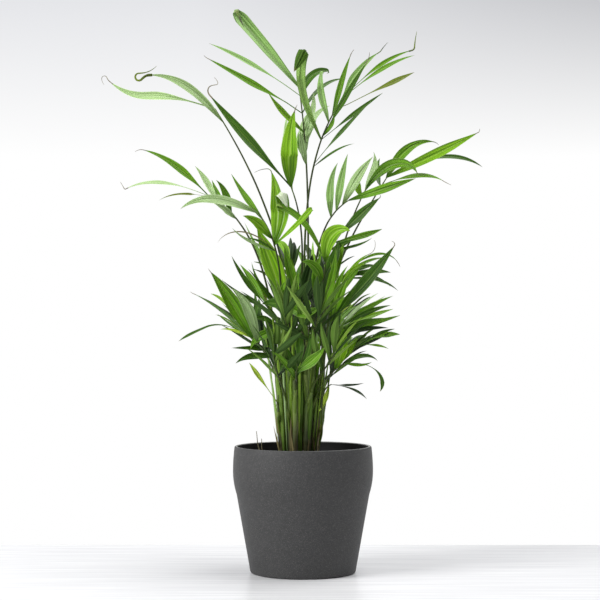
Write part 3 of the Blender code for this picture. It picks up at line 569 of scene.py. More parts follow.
# Each tone of leaf: blade, rib and glow of the upper side, then those of the underside.
Tone = namedtuple("Tone", "name blade rib glow under_blade under_rib under_glow")
LEAF_TONES = {
    # Sunlit: painted light, for leaflets lit from behind.
    "L": Tone("sunlit", "#92CA20", "#447205", "#C7F626", "#9DC648", "#597B20", "#D8ED84"),
    "S": Tone("satin", "#A1CD74", "#5A7E36", "#C9EB80", "#B1D18D", "#6E8B4F", "#E3F4C1"),
    "Y": Tone("young", "#C3E349", "#789220", "#E6F85C", "#D2F083", "#86A040", "#F0FAA6"),
    "P": Tone("pale", "#C5E5A1", "#769354", "#E3F8AB", "#D7EEBE", "#8CA473", "#F4FFDE"),
    "M": Tone("middle", "#77B01E", "#355E05", "#B1E52A", "#8EB251", "#517127", "#C7DC80"),
    "O": Tone("olive", "#7F9328", "#455512", "#B9C537", "#939E51", "#5A6328", "#CAC576"),
    # Deep: partly the leaves' own dark green, partly painted shade.
    "D": Tone("deep", "#487710", "#234202", "#81B71D", "#688D39", "#3C571A", "#9EB760"),
    # Shade: painted shade, a near black green, for leaflets deep inside the crown.
    "K": Tone("shade", "#1F3E07", "#0F2400", "#497D11", "#415E2A", "#2D4718", "#72894B"),
    # Glossy: its near white underside is a painted sheen, a whitish highlight.
    "G": Tone("glossy", "#7FB21C", "#4E8308", "#C7F62A", "#E9F4D8", "#C7D8AE", "#FEFFF2"),
    # Folded: its dark underside is painted shade, for leaf ends folded over forwards.
    "F": Tone("folded", "#B0DC75", "#5F8332", "#C7E977", "#4E7222", "#27420D", "#83A551"),
    "R": Tone("dry", "#8A8058", "#6A623E", "#A49A6C", "#8A8058", "#6A623E", "#B0A880"),
}
TONE_PLACES = {letter: place for place, letter in enumerate(LEAF_TONES)}

# Leaf skin. Places across a blade run from 0 at its middle to 1 at its margins, and places along it from 0
# at its foot to 1 at its tip. Its margins and middle line are pale, its foot is dark and its very tip is
# dry. Streaks are told in lumps across and along a blade. A leaf's place in the room, times LEAF_PLACE_MIX,
# sets where its streaks fall, so that no two leaves are alike.
LEAF_PLACE_MIX = (9.0, 5.0, 7.0)
STREAK_LUMPS = (3.2, 0.9, 1.0)
STREAK_SHARE = 0.7
RIBS_A_SIDE = 3.5
RIB_SHARE = 0.3
MARGIN_FROM = 0.86
MIDDLE_FROM, MIDDLE_FULL = 0.08, 0.03
PALE_LINE_SHARE = 0.35
DARK_FOOT_UPTO = 0.30
DRY_TIP_FROM = 0.955
DRY_TIP = "#7C7440"
GLOW_SHARE = 0.12
UPPER_ROUGHNESS, UPPER_SPECULAR = 0.42, 0.30
UNDER_ROUGHNESS, UNDER_SPECULAR = 0.6, 0.12

# Cane skin: shares of its fine streaks and of each cane's tint, and where brown ends and green begins.
CANE_STREAK_SHARE = 0.45
CANE_TINT_SHARE = 0.55
CANE_BROWN_UPTO = 112.0
CANE_GREEN_FROM = 160.0
CANE_BROWN_UNEVEN = 0.35

# Pot skin: grain width, and how far a grain spreads in its cell. Each speckle has the random channel that
# it is drawn from, the draw above which a grain takes it, and its colour.
POT_GRAIN = 0.6
POT_GRAIN_EDGE, POT_GRAIN_FULL = 0.55, 0.25
POT_SPECKLES = ((0, 0.72, "#555453"), (1, 0.74, "#252525"), (2, 0.94, "#625F5D"))

# Table: a board from behind the camera to a far edge just behind the pot.
TABLE_NEAR = -2200.0
TABLE_FAR = 204.0
TABLE_LENGTH = 3200.0
TABLE_THICKNESS = 30.0

# Studio: the backdrop greys between two heights of view, and more so to the right: painted shade of a backdrop
# less lit higher up and to the right. It lights less than it shows.
BACKDROP_WHITE = "#FFFFFF"
BACKDROP_GREY_LEFT, BACKDROP_GREY_RIGHT = "#E1E2E6", "#BEBFC3"
BACKDROP_RISE = (0.09, 0.19)
BACKDROP_ASIDE = (-0.06, 0.17)
STUDIO_GLOW = 0.37
# Softboxes: name, place, what it aims at, width and height, all in metres, and watts.
Softbox = namedtuple("Softbox", "name place aim width height watts")
SOFTBOXES = (
    Softbox("softbox_left", (-1.3, -0.8, 1.15), (0.0, 0.0, 0.28), 0.9, 1.2, 29),
    Softbox("softbox_above", (0.52, 0.12, 1.55), (0.0, 0.0, 0.30), 1.2, 1.0, 19),
)


def region_of(frond):
    """The part of the crown that a frond belongs to. Its leaflets are joined with the others there."""
    if frond.name.startswith("frond_back"):
        return "back"
    if frond.name.startswith("frond_front"):
        return "front"
    side = "left" if frond.end[0] < CLUMP_MIDDLE.x else "right"
    level = "upper" if frond.end[2] > UPPER_FROM_HEIGHT else "lower"
    return f"{level}_{side}"


class Skin:
    """A piece while it is made: points, their places on its map, faces and the finish of each face."""

    def __init__(self):
        self.points = []
        self.places = []
        self.faces = []
        self.finishes = []

    def add_rings(self, rings, places, finish_of, caps=True):
        """A tube of rings of equal count. finish_of gives the finish of the strip after a column."""
        first = len(self.points)
        count = len(rings[0])
        for ring, ring_places in zip(rings, places):
            self.points += ring
            self.places += ring_places
        for k in range(len(rings) - 1):
            low = first + k * count
            for n in range(count):
                m = (n + 1) % count
                self.faces.append((low + n, low + m, low + count + m, low + count + n))
                self.finishes.append(finish_of(n))
        if caps:
            last = first + (len(rings) - 1) * count
            self.faces.append(tuple(first + n for n in reversed(range(count))))
            self.faces.append(tuple(last + n for n in range(count)))
            self.finishes += [finish_of(0), finish_of(0)]

    def close_tip(self, point, place, count, finish_of):
        """Closes the last ring to a point."""
        first = len(self.points) - count
        self.points.append(point)
        self.places.append(place)
        for n in range(count):
            self.faces.append((first + n, first + (n + 1) % count, first + count))
            self.finishes.append(finish_of(n))

    def close_foot(self, count, rings, finish_of):
        """Closes the first of the rings that were added last, tip point and all."""
        first = len(self.points) - 1 - count * rings
        self.faces.append(tuple(first + n for n in reversed(range(count))))
        self.finishes.append(finish_of(0))

    def piece(self, name, finishes, sharp=60.0):
        """The piece's object, riding on the plant. Its map lies in the UV layer named leaf_map."""
        mesh = bpy.data.meshes.new(name)
        mesh.from_pydata([tuple(p * MM) for p in self.points], [], self.faces)
        layer = mesh.uv_layers.new(name="leaf_map")
        for loop in mesh.loops:
            layer.data[loop.index].uv = self.places[loop.vertex_index]
        for finish in finishes:
            mesh.materials.append(finish)
        mesh.polygons.foreach_set("material_index", self.finishes)
        mesh.shade_smooth()
        mesh.set_sharp_from_angle(angle=math.radians(sharp))
        made = bpy.data.objects.new(name, mesh)
        bpy.context.scene.collection.objects.link(made)
        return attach(made, "root")


def linear_colour(text):
    """An sRGB hex colour as linear red, green, blue and alpha."""
    parts = [int(text[k:k + 2], 16) / 255 for k in (1, 3, 5)]
    return (*[p / 12.92 if p <= 0.04045 else ((p + 0.055) / 1.055) ** 2.4 for p in parts], 1.0)


def add_node(tree, kind, values=None, **settings):
    """Adds a node. settings are its own properties, and values give its inputs a value or what feeds them.

    A value may be a hex colour. What feeds an input is a socket, or a node whose first output does. A Mix node
    of colours has its share at input 0, its two colours at 6 and 7, and the mixed colour at output 2.
    """
    node = tree.nodes.new(kind)
    for name, value in settings.items():
        setattr(node, name, value)
    for key, value in (values or {}).items():
        if isinstance(value, bpy.types.Node):
            value = value.outputs[0]
        if isinstance(value, bpy.types.NodeSocket):
            tree.links.new(value, node.inputs[key])
        else:
            node.inputs[key].default_value = linear_colour(value) if isinstance(value, str) else value
    return node


def new_finish(name):
    """An empty material, its tree and the socket for its surface."""
    made = bpy.data.materials.new(name)
    made.use_nodes = True
    tree = made.node_tree
    tree.nodes.clear()
    out = add_node(tree, "ShaderNodeOutputMaterial")
    return made, tree, out.inputs["Surface"]


def grain(tree, size_mm, stretch=(1, 1, 1), detail=3.0, low=0.35, high=0.65):
    """A soft random pattern whose lumps are size_mm across, times stretch, as a number from 0 to 1."""
    here = add_node(tree, "ShaderNodeTexCoord").outputs["Object"]
    scale = tuple(1 / (size_mm * MM * s) for s in stretch)
    turned = add_node(tree, "ShaderNodeMapping", {"Vector": here, "Scale": scale})
    lumps = add_node(tree, "ShaderNodeTexNoise", {"Vector": turned, "Scale": 1.0, "Detail": detail})
    return add_node(tree, "ShaderNodeMapRange", {"Value": lumps, "From Min": low, "From Max": high})


def leaf_pattern(tree, across, along):
    """Share of the ribs' colour in a blade's own: soft random streaks, and fine even ribs."""
    here = add_node(tree, "ShaderNodeTexCoord").outputs["Object"]
    spot = add_node(tree, "ShaderNodeVectorMath", {0: here, 1: LEAF_PLACE_MIX}, operation="DOT_PRODUCT")
    place = add_node(tree, "ShaderNodeCombineXYZ", {"X": across, "Y": along, "Z": spot.outputs["Value"]})
    stretched = add_node(tree, "ShaderNodeMapping", {"Vector": place, "Scale": STREAK_LUMPS})
    lumps = add_node(tree, "ShaderNodeTexNoise", {"Vector": stretched, "Scale": 1.0, "Detail": 1.0})
    streak = add_node(tree, "ShaderNodeMapRange", {"Value": lumps, "From Min": 0.36, "From Max": 0.64})
    turns = add_node(tree, "ShaderNodeMath", {0: across, 1: 2 * math.pi * RIBS_A_SIDE}, operation="MULTIPLY")
    wave = add_node(tree, "ShaderNodeMath", {0: turns}, operation="COSINE")
    ribs = add_node(tree, "ShaderNodeMapRange", {"Value": wave, "From Min": -0.2, "From Max": 1.0})
    faint = add_node(tree, "ShaderNodeMath", {0: streak, 1: STREAK_SHARE}, operation="MULTIPLY")
    ribbed = add_node(tree, "ShaderNodeMath", {0: ribs, 1: RIB_SHARE}, operation="MULTIPLY")
    return add_node(tree, "ShaderNodeMath", {0: faint, 1: ribbed}, operation="ADD")


def pale_lines(tree, across):
    """Share of the pale colour at a blade's margins and along its middle."""
    side = add_node(tree, "ShaderNodeMath", {0: across}, operation="ABSOLUTE")
    margin = add_node(tree, "ShaderNodeMapRange", {"Value": side, "From Min": MARGIN_FROM, "From Max": 1.0})
    middle = add_node(
        tree, "ShaderNodeMapRange", {"Value": side, "From Min": MIDDLE_FROM, "From Max": MIDDLE_FULL}
    )
    lines = add_node(tree, "ShaderNodeMath", {0: margin, 1: middle}, operation="MAXIMUM")
    return add_node(tree, "ShaderNodeMath", {0: lines, 1: PALE_LINE_SHARE}, operation="MULTIPLY")


def leaf_finish(tone, under):
    """Living palm leaf under a waxy skin: satin, lit through from behind, with soft streaks and fine ribs.

    Its underside is paler and duller. The real ribs run along it 0.3 mm apart. They are drawn coarser, or
    they would not show.
    """
    made, tree, surface = new_finish(f"palm_leaf_{tone.name}" + ("_underside" if under else ""))
    blade, rib = (tone.under_blade, tone.under_rib) if under else (tone.blade, tone.rib)
    map_place = add_node(tree, "ShaderNodeUVMap", uv_map="leaf_map")
    split = add_node(tree, "ShaderNodeSeparateXYZ", {"Vector": map_place})
    across, along = split.outputs[0], split.outputs[1]
    share = leaf_pattern(tree, across, along)
    pale = pale_lines(tree, across)
    foot = add_node(tree, "ShaderNodeMapRange", {"Value": along, "From Min": DARK_FOOT_UPTO, "From Max": 0.0})
    tip = add_node(tree, "ShaderNodeMapRange", {"Value": along, "From Min": DRY_TIP_FROM, "From Max": 1.0})
    living = add_node(tree, "ShaderNodeMix", {0: share, 6: blade, 7: rib}, data_type="RGBA").outputs[2]
    edged = add_node(
        tree, "ShaderNodeMix", {0: pale, 6: living, 7: tone.under_glow}, data_type="RGBA"
    ).outputs[2]
    footed = add_node(tree, "ShaderNodeMix", {0: foot, 6: edged, 7: rib}, data_type="RGBA").outputs[2]
    skin = add_node(tree, "ShaderNodeMix", {0: tip, 6: footed, 7: DRY_TIP}, data_type="RGBA").outputs[2]
    lit = add_node(tree, "ShaderNodeMix", {0: share, 6: tone.glow, 7: blade}, data_type="RGBA").outputs[2]
    front = add_node(
        tree,
        "ShaderNodeBsdfPrincipled",
        {
            "Base Color": skin,
            "Roughness": UNDER_ROUGHNESS if under else UPPER_ROUGHNESS,
            "IOR": 1.45,
            "Specular IOR Level": UNDER_SPECULAR if under else UPPER_SPECULAR,
        },
    )
    through = add_node(tree, "ShaderNodeBsdfTranslucent", {"Color": lit})
    both = add_node(tree, "ShaderNodeMixShader", {0: GLOW_SHARE, 1: front, 2: through})
    tree.links.new(both.outputs[0], surface)
    return made


def leaf_finishes():
    """The upper and then the under finish of every tone, in the order of LEAF_TONES."""
    return [leaf_finish(tone, under) for tone in LEAF_TONES.values() for under in (False, True)]


def stalk_finish():
    """Living leaf stalk: a smooth hard skin, nearly black green with a paler streak here and there."""
    made, tree, surface = new_finish("palm_stalk_skin")
    place = add_node(tree, "ShaderNodeUVMap", uv_map="leaf_map")
    along = add_node(tree, "ShaderNodeSeparateXYZ", {"Vector": place}).outputs[1]
    foot = add_node(tree, "ShaderNodeMapRange", {"Value": along, "From Min": 0.40, "From Max": 0.12})
    end = add_node(tree, "ShaderNodeMapRange", {"Value": along, "From Min": 0.7, "From Max": 1.0})
    skin = add_node(
        tree,
        "ShaderNodeMix",
        {0: grain(tree, 1.2, stretch=(1, 1, 14)), 6: "#202A0C", 7: "#3E4C18"},
        data_type="RGBA",
    ).outputs[2]
    based = add_node(tree, "ShaderNodeMix", {0: foot, 6: skin, 7: "#56701E"}, data_type="RGBA").outputs[2]
    young = add_node(tree, "ShaderNodeMix", {0: end, 6: based, 7: "#486018"}, data_type="RGBA").outputs[2]
    front = add_node(
        tree,
        "ShaderNodeBsdfPrincipled",
        {"Base Color": young, "Roughness": 0.45, "IOR": 1.46, "Specular IOR Level": 0.3},
    )
    tree.links.new(front.outputs[0], surface)
    return made


def thread_finish():
    """Dried leaf tip: shrunk to a thread, dull brown grey."""
    made, tree, surface = new_finish("dried_leaf_tip")
    skin = add_node(
        tree, "ShaderNodeMix", {0: grain(tree, 3.0), 6: "#5C5238", 7: "#8B8468"}, data_type="RGBA"
    ).outputs[2]
    front = add_node(tree, "ShaderNodeBsdfPrincipled", {"Base Color": skin, "Roughness": 0.7, "IOR": 1.45})
    tree.links.new(front.outputs[0], surface)
    return made


def cane_finish(name, roughness, green_dark, green_light, brown_dark, brown_light):
    """Living palm skin round a cane: fine lengthwise streaks, a tint for each cane and brown at the foot.

    The cane itself is smooth and hard. The leaf sheath round it is fibrous, duller and a lighter green.
    """
    made, tree, surface = new_finish(name)
    here = add_node(tree, "ShaderNodeTexCoord").outputs["Object"]
    height = add_node(tree, "ShaderNodeSeparateXYZ", {"Vector": here}).outputs[2]
    streak = grain(tree, 1.1, stretch=(1, 1, 40), detail=3.0)
    tint = grain(tree, 5.0, stretch=(1, 1, 12), detail=1.0, low=0.4, high=0.6)
    part = add_node(tree, "ShaderNodeMath", {0: streak, 1: CANE_STREAK_SHARE}, operation="MULTIPLY")
    rest = add_node(tree, "ShaderNodeMath", {0: tint, 1: CANE_TINT_SHARE}, operation="MULTIPLY")
    share = add_node(tree, "ShaderNodeMath", {0: part, 1: rest}, operation="ADD")
    rise = add_node(
        tree,
        "ShaderNodeMapRange",
        {"Value": height, "From Min": CANE_BROWN_UPTO * MM, "From Max": CANE_GREEN_FROM * MM},
    )
    uneven = add_node(tree, "ShaderNodeMath", {0: tint, 1: CANE_BROWN_UNEVEN}, operation="MULTIPLY")
    lowered = add_node(tree, "ShaderNodeMath", {0: rise, 1: uneven}, operation="SUBTRACT")
    living = add_node(tree, "ShaderNodeClamp", {0: lowered})
    green = add_node(
        tree, "ShaderNodeMix", {0: share, 6: green_dark, 7: green_light}, data_type="RGBA"
    ).outputs[2]
    brown = add_node(
        tree, "ShaderNodeMix", {0: share, 6: brown_dark, 7: brown_light}, data_type="RGBA"
    ).outputs[2]
    skin = add_node(tree, "ShaderNodeMix", {0: living, 6: brown, 7: green}, data_type="RGBA").outputs[2]
    relief = add_node(tree, "ShaderNodeBump", {"Height": streak, "Distance": 0.15 * MM, "Strength": 0.4})
    front = add_node(
        tree,
        "ShaderNodeBsdfPrincipled",
        {"Base Color": skin, "Roughness": roughness, "IOR": 1.46, "Normal": relief},
    )
    tree.links.new(front.outputs[0], surface)
    return made


def soil_finish(name, dark, light, size_mm):
    """Moist peat compost and the bark in it: matt, crumbly and nearly black, with browner fibres."""
    made, tree, surface = new_finish(name)
    lumps = grain(tree, size_mm, detail=6.0)
    skin = add_node(tree, "ShaderNodeMix", {0: lumps, 6: dark, 7: light}, data_type="RGBA").outputs[2]
    relief = add_node(tree, "ShaderNodeBump", {"Height": lumps, "Distance": 0.5 * MM, "Strength": 0.8})
    front = add_node(
        tree,
        "ShaderNodeBsdfPrincipled",
        {"Base Color": skin, "Roughness": 0.92, "IOR": 1.4, "Normal": relief},
    )
    tree.links.new(front.outputs[0], surface)
    return made


def pot_finish(name, share=0.0, towards="#080808"):
    """Moulded plastic filled with mineral grains: matt charcoal with a fine granite speckle.

    The real grains are about 0.3 mm across. They are drawn at about 0.6 mm, or they would not show. share of
    another colour paints shade on the inside, darkening it, or paints a pale highlight on the rim.
    """
    made, tree, surface = new_finish(name)
    here = add_node(tree, "ShaderNodeTexCoord").outputs["Object"]
    cells = add_node(
        tree, "ShaderNodeTexVoronoi", {"Vector": here, "Scale": 1 / (POT_GRAIN * MM), "Randomness": 1.0}
    )
    draw = add_node(tree, "ShaderNodeSeparateColor", {"Color": cells.outputs["Color"]})
    inside = add_node(
        tree,
        "ShaderNodeMapRange",
        {"Value": cells.outputs["Distance"], "From Min": POT_GRAIN_EDGE, "From Max": POT_GRAIN_FULL},
    )
    cloud = grain(tree, 5.0, detail=5.0)
    colour = add_node(
        tree, "ShaderNodeMix", {0: cloud, 6: "#333333", 7: "#383838"}, data_type="RGBA"
    ).outputs[2]
    for channel, above, tint in POT_SPECKLES:
        chosen = add_node(
            tree, "ShaderNodeMath", {0: draw.outputs[channel], 1: above}, operation="GREATER_THAN"
        )
        seen = add_node(tree, "ShaderNodeMath", {0: chosen, 1: inside}, operation="MULTIPLY")
        colour = add_node(tree, "ShaderNodeMix", {0: seen, 6: colour, 7: tint}, data_type="RGBA").outputs[2]
    colour = add_node(tree, "ShaderNodeMix", {0: share, 6: colour, 7: towards}, data_type="RGBA").outputs[2]
    fine = grain(tree, 0.8, detail=4.0)
    relief = add_node(tree, "ShaderNodeBump", {"Height": fine, "Distance": 0.10 * MM, "Strength": 0.45})
    front = add_node(
        tree,
        "ShaderNodeBsdfPrincipled",
        {"Base Color": colour, "Roughness": 0.62, "IOR": 1.5, "Normal": relief},
    )
    tree.links.new(front.outputs[0], surface)
    return made


def table_finish():
    """White painted board, brushed along its length: faint grey streaks and a soft gloss."""
    made, tree, surface = new_finish("white_painted_board")
    streak = grain(tree, 5.0, stretch=(30, 1, 1), detail=6.0, low=0.25, high=0.75)
    skin = add_node(
        tree, "ShaderNodeMix", {0: streak, 6: "#DCDCDE", 7: "#FFFFFF"}, data_type="RGBA"
    ).outputs[2]
    front = add_node(tree, "ShaderNodeBsdfPrincipled", {"Base Color": skin, "Roughness": 0.34, "IOR": 1.5})
    tree.links.new(front.outputs[0], surface)
    return made


def pot_outer_radius(height):
    """Radius of the pot's outside: a straight taper, then a smooth bulge by the widest place to the rim."""
    if height <= POT_SHOULDER_HEIGHT:
        share = height / POT_SHOULDER_HEIGHT
        return POT_FOOT_RADIUS + share * (POT_SHOULDER_RADIUS - POT_FOOT_RADIUS)
    if height <= POT_WIDEST_HEIGHT:
        share = (POT_WIDEST_HEIGHT - height) / (POT_WIDEST_HEIGHT - POT_SHOULDER_HEIGHT)
        return POT_WIDEST_RADIUS - share**2 * (POT_WIDEST_RADIUS - POT_SHOULDER_RADIUS)
    share = (height - POT_WIDEST_HEIGHT) / (POT_HEIGHT - POT_WIDEST_HEIGHT)
    return POT_WIDEST_RADIUS - share**2 * (POT_WIDEST_RADIUS - POT_RIM_RADIUS)


def arc(middle, radius, start, end, steps):
    """Points of an arc in the radius and height plane, from one angle to another in degrees."""
    turns = [math.radians(start + (end - start) * k / steps) for k in range(steps + 1)]
    return [(middle[0] + radius * math.cos(t), middle[1] + radius * math.sin(t)) for t in turns]


def turned_piece(name, profile, sides, finish, sharp=50.0):
    """A closed solid of revolution. The profile runs round its wall, and flat discs close its two ends."""
    skin = Skin()
    rings, places = [], []
    for radius, height in profile:
        turns = [2 * math.pi * k / sides for k in range(sides)]
        rings.append([Vector((radius * math.cos(t), radius * math.sin(t), height)) for t in turns])
        places.append([(k / sides, height / POT_HEIGHT) for k in range(sides)])
    skin.add_rings(rings, places, lambda n: 0)
    return skin.piece(name, [finish], sharp)


def make_pot():
    """The pot's shell, rounded at foot and rim: painted shade inside, a painted highlight on the rim's flat
    top and inner edge.
    """
    foot, rim, steps = POT_FOOT_ROUNDING, POT_RIM_ROUNDING, POT_WALL_STEPS
    heights = [POT_WALL_FROM + (POT_WALL_TO - POT_WALL_FROM) * k / steps for k in range(steps + 1)]
    profile = [(POT_UNDERSIDE_RADIUS, 0.0)]
    profile += arc((pot_outer_radius(foot) - foot, foot), foot, -90, POT_FOOT_ENDS_AT, POT_FOOT_STEPS)
    profile += [(pot_outer_radius(h), h) for h in heights]
    rim_start = len(profile)
    top, inner = POT_HEIGHT - rim, POT_RIM_RADIUS - POT_WALL + rim
    profile += arc((POT_RIM_RADIUS - rim, top), rim, 0, 90, POT_RIM_STEPS)
    profile += arc((inner, top), rim, 90, 180, POT_RIM_STEPS)
    wall_start = len(profile) - 1
    profile += [(pot_outer_radius(h) - POT_WALL, h) for h in reversed(heights)]
    profile += [(POT_FLOOR_RADIUS, POT_FLOOR)]
    pot = turned_piece("pot_shell", profile, POT_SIDES, pot_finish("pot_granite_plastic"))
    # The inside wall's faces take painted shade: the same plastic darkened towards near black.
    pot.data.materials.append(pot_finish("pot_granite_plastic_inside", POT_INSIDE_PAINTED_SHADE))
    for face in pot.data.polygons[wall_start * POT_SIDES:]:
        face.material_index = 1
    # The rim's flat top and inner edge take a painted highlight: the same plastic paled towards light grey.
    pot.data.materials.append(pot_finish("pot_granite_plastic_rim", POT_RIM_PAINTED_HIGHLIGHT, "#B4B4B2"))
    rim_highlight_start = (rim_start + POT_RIM_STEPS) * POT_SIDES
    for face in pot.data.polygons[rim_highlight_start:rim_highlight_start + POT_RIM_STEPS * POT_SIDES]:
        face.material_index = 2
    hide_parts("pot")


def soil_height(radius):
    """Height of the soil's smooth surface at a distance from the pot's axis."""
    edge = pot_outer_radius(SOIL_EDGE_HEIGHT) - POT_WALL - GAP
    share = min(max((radius - SOIL_CROWN_RADIUS) / (edge - SOIL_CROWN_RADIUS), 0.0), 1.0)
    slope = (1 + math.cos(math.pi * share)) / 2
    return SOIL_EDGE_HEIGHT + (SOIL_CROWN_HEIGHT - SOIL_EDGE_HEIGHT) * slope


def make_soil():
    """The soil: a closed lump with a rough top."""
    inset = POT_WALL + GAP + SOIL_SLACK
    foot = POT_FLOOR + GAP
    outer = pot_outer_radius(SOIL_EDGE_HEIGHT) - inset
    radii = [outer * (1 - k / SOIL_TOP_STEPS) + SOIL_AXIS_HOLE for k in range(SOIL_TOP_STEPS + 1)]
    profile = [(SOIL_AXIS_HOLE, foot), (pot_outer_radius(foot) - inset, foot)]
    profile += [(pot_outer_radius(h) - inset, h) for h in SOIL_SIDE_HEIGHTS]
    profile += [(r, soil_height(r)) for r in radii]
    finish = soil_finish("moist_compost", "#17110B", "#3A2A1A", 2.2)
    soil = turned_piece("soil_lump", profile, SOIL_SIDES, finish)
    for vertex in soil.data.vertices:
        spot = vertex.co / MM
        if spot.z > POT_WIDEST_HEIGHT + 1:
            near_wall = min(1.0, (outer - math.hypot(spot.x, spot.y)) / SOIL_SMOOTH_EDGE)
            lump = noise.noise(spot / SOIL_LUMP) + 0.5 * noise.noise(spot / SOIL_FINE_LUMP)
            vertex.co.z += lump * SOIL_ROUGHNESS * max(near_wall, 0.0) * MM
    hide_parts("soil")
    return soil


def grains_tree(kind):
    """Geometry nodes that strew a surface with grains. kind is round for crumbs or flat for bark chips."""
    tree = bpy.data.node_groups.new(f"strewn_{kind}_grains", "GeometryNodeTree")
    tree.interface.new_socket("Geometry", in_out="OUTPUT", socket_type="NodeSocketGeometry")
    tree.interface.new_socket("Geometry", in_out="INPUT", socket_type="NodeSocketGeometry")
    for name in ("Grains per square metre", "Smallest", "Largest"):
        tree.interface.new_socket(name, in_out="INPUT", socket_type="NodeSocketFloat")
    tree.interface.new_socket("Seed", in_out="INPUT", socket_type="NodeSocketInt")
    tree.interface.new_socket("Finish", in_out="INPUT", socket_type="NodeSocketMaterial")
    given = add_node(tree, "NodeGroupInput").outputs
    facing = add_node(tree, "GeometryNodeInputNormal")
    upward = add_node(tree, "ShaderNodeSeparateXYZ", {"Vector": facing}).outputs[2]
    position = add_node(tree, "GeometryNodeInputPosition")
    height = add_node(tree, "ShaderNodeSeparateXYZ", {"Vector": position}).outputs[2]
    high = add_node(tree, "ShaderNodeMath", {0: height, 1: GRAINS_FROM_HEIGHT * MM}, operation="GREATER_THAN")
    level = add_node(tree, "ShaderNodeMath", {0: upward, 1: LEVEL_ENOUGH}, operation="GREATER_THAN")
    chosen = add_node(tree, "ShaderNodeMath", {0: high, 1: level}, operation="MULTIPLY")
    spots = add_node(
        tree,
        "GeometryNodeDistributePointsOnFaces",
        {
            "Mesh": given["Geometry"],
            "Selection": chosen,
            "Density": given["Grains per square metre"],
            "Seed": given["Seed"],
        },
    )
    if kind == "round":
        grain_mesh = add_node(tree, "GeometryNodeMeshIcoSphere", {"Radius": 1.0, "Subdivisions": 1})
    else:
        grain_mesh = add_node(tree, "GeometryNodeMeshCube", {"Size": BARK_CHIP})
    size = add_node(
        tree,
        "FunctionNodeRandomValue",
        {2: given["Smallest"], 3: given["Largest"], "Seed": given["Seed"]},
        data_type="FLOAT",
    )
    turn = add_node(
        tree,
        "FunctionNodeRandomValue",
        {0: (-0.5, -0.5, 0.0), 1: (0.5, 0.5, 2 * math.pi), "Seed": given["Seed"]},
        data_type="FLOAT_VECTOR",
    )
    squeeze = add_node(
        tree, "FunctionNodeRandomValue", {0: (0.6, 0.6, 0.45), 1: (1.3, 1.3, 0.9)}, data_type="FLOAT_VECTOR"
    )
    scale = add_node(tree, "ShaderNodeVectorMath", {0: squeeze, "Scale": size.outputs[1]}, operation="SCALE")
    placed = add_node(
        tree,
        "GeometryNodeInstanceOnPoints",
        {"Points": spots.outputs["Points"], "Instance": grain_mesh, "Rotation": turn, "Scale": scale},
    )
    real = add_node(tree, "GeometryNodeRealizeInstances", {0: placed})
    finished = add_node(tree, "GeometryNodeSetMaterial", {"Geometry": real, "Material": given["Finish"]})
    add_node(tree, "NodeGroupOutput", {0: finished})
    return tree


def strew(host, grains):
    """Grains on the host's top as a plain mesh of their own."""
    tree = grains_tree(grains.kind)
    modifier = host.modifiers.new(grains.name, "NODES")
    modifier.node_group = tree
    wanted = {
        "Grains per square metre": grains.per_square_metre,
        "Smallest": grains.smallest * MM,
        "Largest": grains.largest * MM,
        "Seed": grains.seed,
        "Finish": soil_finish(grains.finish, grains.dark, grains.light, grains.lump),
    }
    for item in tree.interface.items_tree:
        if item.in_out == "INPUT" and item.name in wanted:
            modifier[item.identifier] = wanted[item.name]
    graph = bpy.context.evaluated_depsgraph_get()
    mesh = bpy.data.meshes.new_from_object(host.evaluated_get(graph))
    host.modifiers.remove(modifier)
    made = bpy.data.objects.new(grains.name, mesh)
    mesh.name = grains.name
    bpy.context.scene.collection.objects.link(made)
    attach(made, "root")


def plan_stems():
    """Where each cane stands, which way it leans and how tall it is, by the frame's rule."""
    stems = []
    draw = random.Random(PLANT_SEED)
    for k in range(STEM_COUNT):
        share = math.sqrt((k + 0.5) / STEM_COUNT)
        angle = k * GOLDEN_ANGLE
        out = Vector((math.cos(angle), math.sin(angle), 0.0))
        base = CLUMP_MIDDLE + out * CLUMP_RADIUS * share + UP * (SOIL_CROWN_HEIGHT + GAP)
        lean = math.radians(STEM_LEAN) * share
        direction = (UP * math.cos(lean) + out * math.sin(lean)).normalized()
        height = STEM_TALL - (STEM_TALL - STEM_SHORT) * share * draw.uniform(0.7, 1.0)
        stems.append(Stem(f"stem_{k + 1:02d}", base, direction, height))
    return stems


def stem_point(stem, share):
    """A point of the stem's middle line, at a share of its height."""
    return stem.base + stem.direction * stem.height * share


def stem_radius(share):
    """The frame's radius of a stem at a share of its height."""
    return STEM_FOOT_RADIUS + (STEM_TIP_RADIUS - STEM_FOOT_RADIUS) * share


def ring_points(centre, along, side, radius, count):
    """Points of a ring square to along. radius is a number, or gives one for each turn round the ring."""
    across = side - along * side.dot(along)
    across.normalize()
    other = along.cross(across)
    made = []
    for k in range(count):
        turn = 2 * math.pi * k / count
        reach = radius(turn) if callable(radius) else radius
        made.append(centre + (across * math.cos(turn) + other * math.sin(turn)) * reach)
    return made


def along_line(points, k):
    """The direction of a line of points at its point k."""
    return (points[min(k + 1, len(points) - 1)] - points[max(k - 1, 0)]).normalized()


def add_tube(skin, points, radii, sides, side=RIGHT, finish=0):
    """A closed round tube along points. The map runs from 0 to 1 along it."""
    rings, places = [], []
    for k, centre in enumerate(points):
        rings.append(ring_points(centre, along_line(points, k), side, radii[k], sides))
        places.append([(n / sides, k / (len(points) - 1)) for n in range(sides)])
    skin.add_rings(rings, places, lambda n: finish)


def lobed(size, phase):
    """A cane's radius for each turn round it. It isn't quite round."""
    return lambda turn: size * (1 + CANE_LOBES * math.cos(3 * turn + phase))


